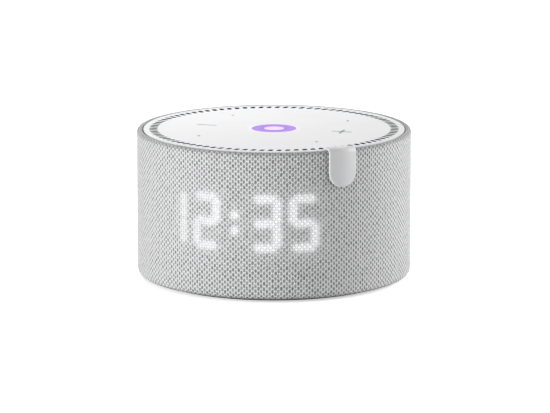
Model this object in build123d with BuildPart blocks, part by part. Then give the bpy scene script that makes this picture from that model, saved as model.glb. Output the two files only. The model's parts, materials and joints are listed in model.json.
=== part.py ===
"""Round smart speaker with a clock behind its fabric sleeve, modelled as separate pieces.

The origin is the centre of the footprint, +Z is up, the clock faces -Y and the sockets face +Y.
All sizes are in millimetres and all angles in degrees.
"""

from build123d import *
import os
from math import cos, degrees, radians, sin, sqrt

os.makedirs("parts", exist_ok=True)

# ---- Driving dimensions: the outside ----
body_diameter = 98.0          # over the fabric
body_height = 53.3            # table to the lip of the top cover
foot_height = 0.9             # how far the rubber foot lifts the body
seat_gap = 0.05               # between flat faces that rest on each other
slide_fit = 0.15              # all round between pieces pushed into each other
running_gap = 0.3             # between a moving piece and what it passes

fabric_thickness = 0.6
fabric_slack = 0.1            # between the fabric and what it is stretched over
fabric_drop = 0.05            # the fabric's roll ends this far below the lip
bottom_round = 2.5            # outside radius of the sleeve's lower edge
roll_width = 2.3              # the band of fabric seen round the cover
roll_round = 1.0
hem_depth = 2.4               # fabric tucked in behind the roll
hem_width = 3.6               # fabric folded in under the housing

housing_wall = 1.8
ledge_width = 3.5
ledge_thickness = 1.4

# ---- Driving dimensions: top cover and tag ----
cover_thickness = 1.8
lip_height = 0.15             # the rim stands this far above the disc
lip_width = 1.9
skirt_thickness = 1.05
skirt_depth = 3.9
slot_count = 90
slot_length = 3.0
slot_width = 1.5
slot_skew = -18.0             # turns the outer end of each slot clockwise
slot_to_lip = 0.15

microphone_circle_radius = 30.5
microphone_hole_radius = 0.6
ring_outer_radius = 7.85
ring_inner_radius = 3.75
ring_flange = 1.75
ring_flange_thickness = 0.7

tag_width = 10.75
tag_thickness = 0.8
tag_angle = 44.4              # to the right of the front
tag_drop = 12.95              # from the fabric's roll to the tag's lowest point
tag_edge_round = 0.36

# ---- Driving dimensions: clock ----
digit_width = 10.7
digit_height = 20.2
bar_width = 3.0
bar_gap = 0.5                 # between the points of two bars
digit_middle_height = 28.6
digit_gap = 2.75              # between neighbouring digits, along the fabric
colon_gap = 5.6               # from the colon's middle to the digits beside it
colon_dot_radius = 1.3
colon_height = 5.4            # between the middles of its two dots
frame_depth = 3.2
frame_margin = 1.3            # frame round the digits
frame_flange = 1.3
lens_depth = 0.8
lens_fit = 0.05               # all round each diffuser in its pocket
display_board_thickness = 0.7

# ---- Driving dimensions: base, boards and sockets ----
base_thickness = 3.0
foot_inset = 1.25             # from the edge of the base plate to the foot
foot_band = 8.0               # width of the foot
foot_thickness = 1.5
board_thickness = 1.2
board_height = 8.0            # underside of the main board
board_inset = 3.1             # between the main board and the housing
port_distance = 11.0          # between the middles of neighbouring sockets
port_panel_length = 34.0
port_panel_height = 7.6
port_flange = 1.3
can_length = 26.0
can_width = 22.0
can_height = 1.6
can_wall = 0.3
can_corner = 1.5
pad_thickness = 0.5
spreader_thickness = 0.6
jack_bore_radius = 1.8
jack_depth = 14.0
jack_barrel_radius = 2.9
jack_body_width = 6.4
jack_body_height = 5.8
inlet_width = 8.94
inlet_height = 3.26
inlet_wall = 0.3
inlet_depth = 8.3
switch_travel = 2.0
switch_knob_width = 2.6
switch_knob_height = 1.5
switch_proud = 0.4

# ---- Driving dimensions: driver and its chamber ----
column_inset = 7.0            # from the housing's wall to the middle of a column
column_radius = 3.4
spigot_radius = 2.4
pilot_radius = 0.9
baffle_thickness = 1.8
chamber_inset = 3.6           # between the columns and the chamber
chamber_height = 18.6
chamber_wall = 1.6
basket_inset = 6.7            # from the chamber's wall to the baffle's hole
magnet_radius = 16.0
magnet_thickness = 4.5
yoke_thickness = 2.0
top_plate_thickness = 2.0
pole_radius = 6.0
coil_radius = 6.35            # inside of the former
former_thickness = 0.25
winding_thickness = 0.45
cone_travel = 1.5             # each way
cone_thickness = 0.4
surround_roll = 2.2           # radius
surround_thickness = 0.4
dust_cap_radius = 8.4
deflector_inset = 5.3         # between the deflector and the skirt of the cover
deflector_post_radius = 2.4
terminal_drop = 3.6           # from the baffle down to the driver's leads

# ---- Derived: the shell of the body ----
body_radius = body_diameter / 2
sleeve_inner = body_radius - fabric_thickness
housing_radius = sleeve_inner - fabric_slack
housing_inner = housing_radius - housing_wall
sleeve_top = body_height - fabric_drop
roll_inner = body_radius - roll_width
hem_bottom = sleeve_top - hem_depth
housing_bottom = foot_height + fabric_thickness + fabric_slack
rim_top = sleeve_top - fabric_thickness - fabric_slack
rim_inner = roll_inner + fabric_thickness + fabric_slack
rebate_floor = hem_bottom - fabric_slack
hem_inner = body_radius - hem_width
base_top = foot_height + base_thickness
base_radius = hem_inner - slide_fit
foot_outer = base_radius - foot_inset
foot_inner = foot_outer - foot_band
ledge_bottom = base_top + 2 * seat_gap
ledge_top = ledge_bottom + ledge_thickness
ledge_inner = housing_inner - ledge_width

cover_face = body_height - lip_height
cover_bottom = cover_face - cover_thickness
cover_radius = roll_inner - slide_fit
lip_inner = cover_radius - lip_width
slot_circle_radius = lip_inner - slot_to_lip - slot_length / 2
skirt_outer = housing_inner - slide_fit
skirt_inner = skirt_outer - skirt_thickness
skirt_bottom = cover_bottom - skirt_depth
upper_ledge_top = skirt_bottom - seat_gap

board_radius = housing_inner - board_inset
board_top = board_height + board_thickness
port_height = board_top + inlet_height / 2

frame_outer = sleeve_inner - 2 * fabric_slack
frame_inner = frame_outer - frame_depth
near_arc = colon_gap + digit_width / 2
far_arc = near_arc + digit_width + digit_gap
digit_arcs = (-far_arc, -near_arc, near_arc, far_arc)
frame_half_arc = far_arc + digit_width / 2 + frame_margin
frame_half_angle = degrees(frame_half_arc / body_radius)
frame_bottom = digit_middle_height - digit_height / 2 - frame_margin
frame_top = digit_middle_height + digit_height / 2 + frame_margin
flange_angle = frame_half_angle + 1.6

column_circle_radius = housing_inner - column_inset
chamber_radius = column_circle_radius - column_radius - chamber_inset
basket_opening_radius = chamber_radius - chamber_wall - basket_inset
deflector_radius = skirt_inner - deflector_inset
post_circle_radius = deflector_radius - deflector_post_radius - 0.1

spreader_bottom = board_top + can_height + pad_thickness
chamber_bottom = spreader_bottom + spreader_thickness + seat_gap
baffle_bottom = chamber_bottom + chamber_height + seat_gap
baffle_top = baffle_bottom + baffle_thickness
lead_height = baffle_bottom - terminal_drop
floor_top = chamber_bottom + chamber_wall
yoke_bottom = floor_top + 0.7
magnet_bottom = yoke_bottom + yoke_thickness
top_plate_bottom = magnet_bottom + magnet_thickness
gap_top = top_plate_bottom + top_plate_thickness
gasket_thickness = 0.5
flange_bottom = baffle_top + gasket_thickness
flange_top = flange_bottom + 1.0


def outward_plane(angle, radius, height):
    """A plane that faces away from the axis, angle degrees to the right of the front."""
    turn = radians(angle)
    return Plane(
        origin=(radius * sin(turn), -radius * cos(turn), height),
        x_dir=(cos(turn), sin(turn), 0),
        z_dir=(sin(turn), -cos(turn), 0),
    )


def round_corner(sketch, x, y, radius):
    """Round the corner of a sketch that lies nearest to x, y in the sketch's own plane."""
    fillet(sketch.vertices().sort_by_distance((x, y, 0))[0], radius)


def draw_sector(outer_radius, inner_radius, middle_angle, half_angle):
    """Part of a flat ring; the angles are counted from the +X axis."""
    with BuildLine() as outline:
        outer = CenterArc((0, 0), outer_radius, middle_angle - half_angle, 2 * half_angle)
        inner = CenterArc((0, 0), inner_radius, middle_angle - half_angle, 2 * half_angle)
        Line(outer @ 0, inner @ 0)
        Line(outer @ 1, inner @ 1)
    make_face(outline.edges())


def draw_bar(length, width, turn):
    """A straight bar with a point at each end."""
    tip, flat, half = length / 2, (length - width) / 2, width / 2
    points = [(-tip, 0), (-flat, half), (flat, half), (tip, 0), (flat, -half), (-flat, -half)]
    Polygon(*points, rotation=turn)


def draw_digit(shrink):
    """The seven bars of a digit round the origin, each smaller by shrink on every side."""
    reach_x, reach_y = (digit_width - bar_width) / 2, (digit_height - bar_width) / 2
    width = bar_width - 2 * shrink
    for y in (-reach_y, 0, reach_y):
        with Locations((0, y)):
            draw_bar(2 * reach_x - bar_gap - 2 * shrink, width, 0)
    with GridLocations(2 * reach_x, reach_y, 2, 2):
        draw_bar(reach_y - bar_gap - 2 * shrink, width, 90)


def digit_planes(radius):
    """One plane for each digit, facing outward."""
    angles = [degrees(arc / body_radius) for arc in digit_arcs]
    return [outward_plane(angle, radius, digit_middle_height) for angle in angles]


def screw(head_radius, head_height, shank_radius, shank_length, cross_depth):
    """A pan head screw; its head rests on the XY plane and its shank points down."""
    with BuildPart() as pan_screw:
        with BuildSketch():
            Circle(head_radius)
        extrude(amount=head_height)
        fillet(pan_screw.edges().group_by(Axis.Z)[-1], head_height * 0.4)
        with BuildSketch():
            Circle(shank_radius)
        extrude(amount=-shank_length)
        with BuildSketch(Plane.XY.offset(head_height)):
            Rectangle(head_radius * 1.1, head_radius * 0.3)
            Rectangle(head_radius * 0.3, head_radius * 1.1)
        extrude(amount=-cross_depth, mode=Mode.SUBTRACT)
    return pan_screw.part


# ---- Fabric sleeve: stretched over the housing, rolled in at the top, folded under at the base ----
with BuildPart() as fabric_sleeve:
    with BuildSketch(Plane.XZ) as sleeve_profile:
        with BuildLine():
            Polyline(
                (hem_inner, foot_height),
                (body_radius, foot_height),
                (body_radius, sleeve_top),
                (roll_inner, sleeve_top),
                (roll_inner, hem_bottom),
                (roll_inner + fabric_thickness, hem_bottom),
                (roll_inner + fabric_thickness, sleeve_top - fabric_thickness),
                (sleeve_inner, sleeve_top - fabric_thickness),
                (sleeve_inner, foot_height + fabric_thickness),
                (hem_inner, foot_height + fabric_thickness),
                close=True,
            )
        make_face()
        round_corner(sleeve_profile, body_radius, foot_height, bottom_round)
        inner_round = bottom_round - fabric_thickness
        round_corner(sleeve_profile, sleeve_inner, foot_height + fabric_thickness, inner_round)
        inner_top = sleeve_top - fabric_thickness
        inner_round = roll_round - fabric_thickness
        for radius in (body_radius, roll_inner):
            round_corner(sleeve_profile, radius, sleeve_top, roll_round)
        for radius in (sleeve_inner, roll_inner + fabric_thickness):
            round_corner(sleeve_profile, radius, inner_top, inner_round)
    revolve(axis=Axis.Z)
    with BuildSketch(outward_plane(180, 0, port_height)):
        SlotOverall(port_panel_length + 2 * slide_fit, port_panel_height + 2 * slide_fit)
    extrude(amount=body_radius + 1, mode=Mode.SUBTRACT)
fabric_sleeve.part.label = "fabric_sleeve"
export_step(fabric_sleeve.part, "parts/fabric_sleeve.step")

# ---- Side housing: shell with sound windows, display window, port opening and ledges ----
window_count = 48
window_half_angle = 2.75
window_bottom = baffle_top + 1.6
window_top = upper_ledge_top - ledge_thickness / 2 - 1.0
front_window_bottom = frame_top + frame_flange + 0.6
rib_angles = (0, 35, 145, 180, 215, 325)
rib_width = 1.6
rib_inner = board_radius + 0.4
rib_bottom = board_top + 0.6
rib_top = baffle_bottom - seat_gap

with BuildPart() as side_housing:
    with BuildSketch(Plane.XZ) as housing_profile:
        with BuildLine():
            Polyline(
                (housing_radius, housing_bottom),
                (housing_radius, rim_top),
                (rim_inner, rim_top),
                (rim_inner, rebate_floor),
                (housing_inner, rebate_floor),
                (housing_inner, upper_ledge_top),
                (skirt_inner - 0.3, upper_ledge_top),
                (skirt_inner - 0.3, upper_ledge_top - ledge_thickness / 2),
                (housing_inner, upper_ledge_top - ledge_thickness / 2),
                (housing_inner, ledge_top),
                (ledge_inner, ledge_top),
                (ledge_inner, ledge_bottom),
                (hem_inner, ledge_bottom),
                (hem_inner, housing_bottom),
                close=True,
            )
        make_face()
        housing_round = bottom_round - fabric_thickness - fabric_slack
        round_corner(housing_profile, housing_radius, housing_bottom, housing_round)
        rim_round = roll_round - fabric_thickness - fabric_slack
        for radius in (housing_radius, rim_inner):
            round_corner(housing_profile, radius, rim_top, rim_round)
    revolve(axis=Axis.Z)
    with BuildSketch(Plane.XY.offset(rib_bottom)):
        for angle in rib_angles:
            with PolarLocations((rib_inner + housing_inner + 0.2) / 2, 1, start_angle=angle):
                Rectangle(housing_inner + 0.2 - rib_inner, rib_width)
    extrude(amount=rib_top - rib_bottom)
    # Sound windows all round, shorter ones above the display
    pitch = 360 / window_count
    for behind_display in (False, True):
        lower = front_window_bottom if behind_display else window_bottom
        with BuildSketch(Plane.XY.offset(lower)):
            for number in range(window_count):
                from_front = abs((number + 0.5) * pitch - 180)
                if (from_front < flange_angle + pitch / 2) == behind_display:
                    middle = (number + 0.5) * pitch + 90
                    draw_sector(housing_radius + 1, housing_inner - 1, middle, window_half_angle)
        extrude(amount=window_top - lower, mode=Mode.SUBTRACT)
    # Display window
    with BuildSketch(Plane.XY.offset(frame_bottom - slide_fit)):
        draw_sector(housing_radius + 1, housing_inner - 1, -90, frame_half_angle + 0.2)
    extrude(amount=frame_top - frame_bottom + 2 * slide_fit, mode=Mode.SUBTRACT)
    # Port opening
    with BuildSketch(outward_plane(180, 0, port_height)):
        SlotOverall(port_panel_length + 2 * slide_fit, port_panel_height + 2 * slide_fit)
    extrude(amount=body_radius, mode=Mode.SUBTRACT)
side_housing.part.label = "side_housing"
export_step(side_housing.part, "parts/side_housing.step")

# ---- Base plate with the groove for the foot and the bosses under the main board ----
base_boss_top = board_height - seat_gap
base_rib_radius = 14.0
rib_thickness = 1.2
screw_clearance = 0.15
screw_head_radius = 2.3
screw_head_height = 1.2
base_screw_shank = 1.1
base_screw_length = 9.0
foot_groove_depth = foot_thickness - foot_height
counterbore_depth = foot_groove_depth + screw_head_height + 0.1

with BuildPart() as base_plate:
    with BuildSketch(Plane.XY.offset(foot_height)):
        Circle(base_radius)
    extrude(amount=base_thickness)
    fillet(base_plate.edges().group_by(Axis.Z)[0], 0.4)
    with BuildSketch(Plane.XY.offset(foot_height)):
        Circle(foot_outer + slide_fit)
        Circle(foot_inner - slide_fit, mode=Mode.SUBTRACT)
    extrude(amount=foot_groove_depth, mode=Mode.SUBTRACT)
    with BuildSketch(Plane.XY.offset(base_top)):
        with PolarLocations(column_circle_radius, 4, start_angle=45):
            Circle(column_radius)
    extrude(amount=base_boss_top - base_top)
    # Ribs that stiffen the floor
    with BuildSketch(Plane.XY.offset(base_top)):
        with PolarLocations(0, 4, start_angle=45):
            Rectangle(2 * (column_circle_radius - column_radius), rib_thickness)
        Circle(base_rib_radius)
        Circle(base_rib_radius - rib_thickness, mode=Mode.SUBTRACT)
    extrude(amount=rib_thickness)
    with BuildSketch(Plane.XY.offset(foot_height + foot_groove_depth)):
        with PolarLocations(column_circle_radius, 4, start_angle=45):
            Circle(screw_head_radius + 0.2)
    extrude(amount=counterbore_depth - foot_groove_depth, mode=Mode.SUBTRACT)
    with BuildSketch(Plane.XY.offset(foot_height)):
        with PolarLocations(column_circle_radius, 4, start_angle=45):
            Circle(base_screw_shank + screw_clearance)
    extrude(amount=base_boss_top, mode=Mode.SUBTRACT)
base_plate.part.label = "base_plate"
export_step(base_plate.part, "parts/base_plate.step")

# ---- Rubber foot ----
with BuildPart() as rubber_foot:
    with BuildSketch():
        Circle(foot_outer)
        Circle(foot_inner, mode=Mode.SUBTRACT)
    extrude(amount=foot_thickness)
    chamfer(rubber_foot.edges().group_by(Axis.Z)[0], 0.3)
rubber_foot.part.label = "rubber_foot"
export_step(rubber_foot.part, "parts/rubber_foot.step")

# ---- Base screws: up through the base plate and the board into the columns ----
base_screw_seat = foot_height + counterbore_depth
with BuildPart() as base_screws:
    with PolarLocations(column_circle_radius, 4, start_angle=45):
        with Locations(Location((0, 0, base_screw_seat - seat_gap), (180, 0, 0))):
            add(
                screw(
                    screw_head_radius,
                    screw_head_height,
                    base_screw_shank,
                    base_screw_length,
                    screw_head_height * 0.6,
                )
            )
base_screws.part.label = "base_screws"
export_step(base_screws.part, "parts/base_screws.step")

# ---- Top cover: thin disc, slot ring, raised lip and a skirt that plugs into the housing ----
tag_hang = body_radius + seat_gap + tag_thickness / 2
tag_riser = sqrt((roll_inner - 0.05) ** 2 - (tag_width / 2) ** 2) - tag_thickness / 2 - 0.05
tag_root_height = cover_bottom - seat_gap - tag_thickness / 2
tag_strap_height = sleeve_top + seat_gap + tag_thickness / 2
tag_notch_width = tag_width + 2 * slide_fit
lip_round = 0.3

with BuildPart() as top_cover:
    with BuildSketch(Plane.XZ) as cover_profile:
        with BuildLine():
            Polyline(
                (ring_outer_radius + slide_fit, cover_bottom),
                (ring_outer_radius + slide_fit, cover_face),
                (lip_inner, cover_face),
                (lip_inner + lip_height, body_height),
                (cover_radius, body_height),
                (cover_radius, rebate_floor + 0.4),
                (skirt_outer, rebate_floor + 0.4),
                (skirt_outer, skirt_bottom),
                (skirt_inner, skirt_bottom),
                (skirt_inner, cover_bottom),
                close=True,
            )
        make_face()
        round_corner(cover_profile, cover_radius, body_height, lip_round)
    revolve(axis=Axis.Z)
    # Ring of skewed slots
    with BuildSketch(Plane.XY.offset(cover_bottom)):
        with PolarLocations(slot_circle_radius, slot_count):
            SlotOverall(slot_length, slot_width, rotation=slot_skew)
    extrude(amount=cover_thickness, mode=Mode.SUBTRACT)
    # Microphone holes
    with BuildSketch(Plane.XY.offset(cover_bottom)):
        with PolarLocations(microphone_circle_radius, 4, start_angle=45):
            Circle(microphone_hole_radius)
    extrude(amount=cover_thickness, mode=Mode.SUBTRACT)
    # Passage for the tag: under the disc, through the skirt and up beside the lip
    notch_radius = tag_riser - tag_thickness / 2 - slide_fit
    notch_bottom = tag_root_height - tag_thickness / 2 - slide_fit
    with BuildSketch(outward_plane(tag_angle, notch_radius, notch_bottom)):
        with Locations((0, body_height / 2)):
            Rectangle(tag_notch_width, body_height)
    extrude(amount=body_radius, mode=Mode.SUBTRACT)
    with BuildSketch(outward_plane(tag_angle, skirt_inner - 1, tag_root_height)):
        Rectangle(tag_notch_width, tag_thickness + 2 * seat_gap)
    extrude(amount=skirt_thickness + 2, mode=Mode.SUBTRACT)
top_cover.part.label = "top_cover"
export_step(top_cover.part, "parts/top_cover.step")

# ---- Hanging tag: clamped under the cover, over the fabric's roll and down the side ----
tag_turn = radians(tag_angle)
tag_section = Plane(
    origin=(0, 0, 0),
    x_dir=(sin(tag_turn), -cos(tag_turn), 0),
    z_dir=(-cos(tag_turn), -sin(tag_turn), 0),
)
tag_bottom = sleeve_top - tag_drop
tag_root_start = deflector_radius + 0.6
outer_bend = roll_round + tag_thickness / 2

with BuildPart() as hanging_tag:
    with BuildSketch(tag_section):
        with BuildLine():
            FilletPolyline(
                (tag_root_start, tag_root_height),
                (tag_riser, tag_root_height),
                (tag_riser, tag_strap_height),
                (tag_hang, tag_strap_height),
                (tag_hang, tag_bottom),
                radius=[tag_thickness * 0.75, tag_thickness, outer_bend],
            )
        trace(line_width=tag_thickness)
    extrude(amount=tag_width / 2, both=True)
    with BuildSketch(outward_plane(tag_angle, tag_root_start - 1, tag_bottom + tag_width / 2)):
        Circle(tag_width / 2)
        with Locations((0, body_height / 2)):
            Rectangle(tag_width, body_height)
    extrude(amount=body_radius, mode=Mode.INTERSECT)
    # Soften every edge but the short ones at the bends and the root
    long_edges = hanging_tag.edges().filter_by(lambda edge: edge.length > tag_thickness * 1.2)
    fillet(long_edges, tag_edge_round)
hanging_tag.part.label = "hanging_tag"
export_step(hanging_tag.part, "parts/hanging_tag.step")

# ---- Light ring: lens, plain centre cap, light shroud, board and lights ----
light_board_radius = 12.6
light_board_thickness = 1.0
shroud_wall = 1.4
shroud_height = 4.6
cap_flange_thickness = 0.6
ring_led_width = 1.6
ring_led_height = 0.7
lens_bottom = cover_bottom - seat_gap - ring_flange_thickness
light_board_top = lens_bottom - seat_gap - shroud_height
light_board_bottom = light_board_top - light_board_thickness
touch_board_radius = deflector_radius - 2.0
touch_board_thickness = 1.0
mic_width = 2.65
mic_length = 3.5
mic_height = 1.0
mic_gasket_radius = 2.0
mic_gasket_thickness = 0.8
touch_board_top = cover_bottom - mic_gasket_thickness - 2 * seat_gap
touch_board_bottom = touch_board_top - touch_board_thickness
touch_board_hole = ring_outer_radius + ring_flange + 0.4

with BuildPart() as light_ring_lens:
    with BuildSketch(Plane.XZ):
        with BuildLine():
            Polyline(
                (ring_inner_radius, lens_bottom),
                (ring_outer_radius + ring_flange, lens_bottom),
                (ring_outer_radius + ring_flange, lens_bottom + ring_flange_thickness),
                (ring_outer_radius, lens_bottom + ring_flange_thickness),
                (ring_outer_radius, cover_face),
                (ring_inner_radius, cover_face),
                close=True,
            )
        make_face()
    revolve(axis=Axis.Z)
light_ring_lens.part.label = "light_ring_lens"
export_step(light_ring_lens.part, "parts/light_ring_lens.step")

with BuildPart() as ring_center_cap:
    with BuildSketch(Plane.XY.offset(lens_bottom)):
        Circle(ring_inner_radius - slide_fit)
    extrude(amount=cover_face - lens_bottom)
    with BuildSketch(Plane.XY.offset(lens_bottom - seat_gap)):
        Circle(ring_inner_radius + 1.0)
    extrude(amount=-cap_flange_thickness)
    with BuildSketch(Plane.XY.offset(lens_bottom - seat_gap)):
        Circle(ring_inner_radius - slide_fit)
    extrude(amount=seat_gap)
ring_center_cap.part.label = "ring_center_cap"
export_step(ring_center_cap.part, "parts/ring_center_cap.step")

with BuildPart() as light_shroud:
    with BuildSketch(Plane.XY.offset(light_board_top + seat_gap)):
        Circle(ring_outer_radius + ring_flange)
        Circle(ring_outer_radius + ring_flange - shroud_wall, mode=Mode.SUBTRACT)
    extrude(amount=shroud_height - seat_gap)
light_shroud.part.label = "light_shroud"
export_step(light_shroud.part, "parts/light_shroud.step")

with BuildPart() as light_board:
    with BuildSketch(Plane.XY.offset(light_board_bottom)):
        Circle(light_board_radius)
    extrude(amount=light_board_top - light_board_bottom)
light_board.part.label = "light_board"
export_step(light_board.part, "parts/light_board.step")

with BuildPart() as ring_leds:
    with BuildSketch(Plane.XY.offset(light_board_top)):
        with PolarLocations((ring_outer_radius + ring_inner_radius) / 2, 8):
            Rectangle(ring_led_width, ring_led_width)
    extrude(amount=ring_led_height)
ring_leds.part.label = "ring_leds"
export_step(ring_leds.part, "parts/ring_leds.step")

# ---- Touch board with its microphones and their seals ----
with BuildPart() as touch_board:
    with BuildSketch(Plane.XY.offset(touch_board_bottom)):
        Circle(touch_board_radius)
        Circle(touch_board_hole, mode=Mode.SUBTRACT)
        with PolarLocations(microphone_circle_radius, 4, start_angle=45):
            Circle(microphone_hole_radius, mode=Mode.SUBTRACT)
    extrude(amount=touch_board_thickness)
touch_board.part.label = "touch_board"
export_step(touch_board.part, "parts/touch_board.step")

with BuildPart() as microphones:
    with BuildSketch(Plane.XY.offset(touch_board_bottom)):
        with PolarLocations(microphone_circle_radius, 4, start_angle=45):
            Rectangle(mic_width, mic_length)
    extrude(amount=-mic_height)
microphones.part.label = "microphones"
export_step(microphones.part, "parts/microphones.step")

with BuildPart() as mic_gaskets:
    with BuildSketch(Plane.XY.offset(touch_board_top + seat_gap)):
        with PolarLocations(microphone_circle_radius, 4, start_angle=45):
            Circle(mic_gasket_radius)
            Circle(microphone_hole_radius + 0.2, mode=Mode.SUBTRACT)
    extrude(amount=mic_gasket_thickness)
mic_gaskets.part.label = "mic_gaskets"
export_step(mic_gaskets.part, "parts/mic_gaskets.step")

# ---- Sound deflector: flared cone over the driver, on four posts ----
deflector_top = touch_board_bottom - seat_gap
deflector_underside = deflector_top - 1.9
deflector_tip = flange_top + surround_roll + cone_travel + 0.9
well_floor = light_board_bottom - seat_gap
well_radius = light_board_radius + 0.5
post_bottom = baffle_top + seat_gap
thread_clearance = 0.05
deflector_screw_length = 9.0
recess_radius = microphone_circle_radius + 2.5

with BuildPart() as sound_deflector:
    with BuildSketch(Plane.XZ):
        with BuildLine():
            flare = ThreePointArc(
                (0, deflector_tip),
                (well_radius, well_floor - 1.5),
                (deflector_radius - 4, deflector_underside),
            )
            Polyline(
                flare @ 1,
                (deflector_radius, deflector_underside),
                (deflector_radius, deflector_top),
                (recess_radius + mic_height, deflector_top),
                (recess_radius, deflector_top - mic_height),
                (well_radius + 1.3, well_floor + 1.2),
                (well_radius, well_floor + 1.2),
                (well_radius, well_floor),
                (0, well_floor),
                flare @ 0,
            )
        make_face()
    revolve(axis=Axis.Z)
    with BuildSketch(Plane.XY.offset(post_bottom)):
        with PolarLocations(post_circle_radius, 4):
            Circle(deflector_post_radius)
    extrude(amount=deflector_underside + 0.5 - post_bottom)
    with BuildSketch(Plane.XY.offset(post_bottom)):
        with PolarLocations(post_circle_radius, 4):
            Circle(pilot_radius + thread_clearance)
    extrude(amount=deflector_screw_length, mode=Mode.SUBTRACT)
sound_deflector.part.label = "sound_deflector"
export_step(sound_deflector.part, "parts/sound_deflector.step")

with BuildPart() as deflector_screws:
    with PolarLocations(post_circle_radius, 4):
        with Locations(Location((0, 0, baffle_bottom - seat_gap), (180, 0, 0))):
            add(screw(1.9, 1.2, pilot_radius, deflector_screw_length, 0.6))
deflector_screws.part.label = "deflector_screws"
export_step(deflector_screws.part, "parts/deflector_screws.step")

# ---- Driver baffle: plate on the housing's ribs, with columns down to the base ----
baffle_radius = housing_inner - 0.3
display_clear_radius = frame_inner - display_board_thickness - 0.9
column_bottom = base_boss_top + 0.3
driver_screw_circle_radius = basket_opening_radius + 3.3

with BuildPart() as driver_baffle:
    with BuildSketch(Plane.XY.offset(baffle_bottom)):
        Circle(baffle_radius)
        Circle(basket_opening_radius, mode=Mode.SUBTRACT)
        with PolarLocations(post_circle_radius, 4):
            Circle(pilot_radius + screw_clearance, mode=Mode.SUBTRACT)
        with PolarLocations(driver_screw_circle_radius, 4, start_angle=45):
            Circle(pilot_radius + thread_clearance, mode=Mode.SUBTRACT)
    extrude(amount=baffle_thickness)
    # Recess that clears the display
    with BuildSketch(Plane.XY.offset(baffle_bottom)):
        draw_sector(baffle_radius + 1, display_clear_radius, -90, flange_angle + 1)
    extrude(amount=baffle_thickness, mode=Mode.SUBTRACT)
    with BuildSketch(Plane.XY.offset(board_top + seat_gap)):
        with PolarLocations(column_circle_radius, 4, start_angle=45):
            Circle(column_radius)
    extrude(amount=baffle_bottom - board_top)
    with BuildSketch(Plane.XY.offset(column_bottom)):
        with PolarLocations(column_circle_radius, 4, start_angle=45):
            Circle(spigot_radius)
    extrude(amount=board_top - column_bottom + 1)
    with BuildSketch(Plane.XY.offset(column_bottom)):
        with PolarLocations(column_circle_radius, 4, start_angle=45):
            Circle(base_screw_shank + thread_clearance)
    extrude(amount=base_screw_length, mode=Mode.SUBTRACT)
driver_baffle.part.label = "driver_baffle"
export_step(driver_baffle.part, "parts/driver_baffle.step")

# ---- Acoustic chamber: closed cup behind the driver ----
lead_radius = 0.5
lead_offset = 0.9
yoke_seat_radius = pole_radius + 3.0
with BuildPart() as acoustic_chamber:
    with BuildSketch(Plane.XY.offset(chamber_bottom)):
        Circle(chamber_radius)
    extrude(amount=baffle_bottom - seat_gap - chamber_bottom)
    with BuildSketch(Plane.XY.offset(floor_top)):
        Circle(chamber_radius - chamber_wall)
    extrude(amount=baffle_bottom, mode=Mode.SUBTRACT)
    fillet(acoustic_chamber.edges().group_by(Axis.Z)[0], 1.0)
    with BuildSketch(outward_plane(-90, chamber_radius - 4, lead_height)):
        with GridLocations(2 * lead_offset, 0, 2, 1):
            Circle(lead_radius + thread_clearance)
    extrude(amount=chamber_radius, mode=Mode.SUBTRACT)
    # Seat that carries the yoke
    with BuildSketch(Plane.XY.offset(floor_top)):
        Circle(yoke_seat_radius)
    extrude(amount=yoke_bottom - seat_gap - floor_top)
acoustic_chamber.part.label = "acoustic_chamber"
export_step(acoustic_chamber.part, "parts/acoustic_chamber.step")

# ---- Driver: motor ----
with BuildPart() as yoke:
    with BuildSketch(Plane.XY.offset(yoke_bottom)):
        Circle(magnet_radius - 1.5)
    extrude(amount=yoke_thickness)
    with BuildSketch(Plane.XY.offset(magnet_bottom)):
        Circle(pole_radius)
    extrude(amount=gap_top - magnet_bottom)
    fillet(yoke.edges().group_by(Axis.Z)[0], 0.5)
yoke.part.label = "yoke"
export_step(yoke.part, "parts/yoke.step")

with BuildPart() as magnet:
    with BuildSketch(Plane.XY.offset(magnet_bottom)):
        Circle(magnet_radius)
        Circle(pole_radius + 2.6, mode=Mode.SUBTRACT)
    extrude(amount=magnet_thickness)
    chamfer(magnet.edges().filter_by(GeomType.CIRCLE), 0.3)
magnet.part.label = "magnet"
export_step(magnet.part, "parts/magnet.step")

former_outer = coil_radius + former_thickness
winding_outer = former_outer + winding_thickness
with BuildPart() as top_plate:
    with BuildSketch(Plane.XY.offset(top_plate_bottom)):
        Circle(magnet_radius - 2)
        Circle(winding_outer + running_gap + 0.1, mode=Mode.SUBTRACT)
    extrude(amount=top_plate_thickness)
top_plate.part.label = "top_plate"
export_step(top_plate.part, "parts/top_plate.step")

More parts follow.
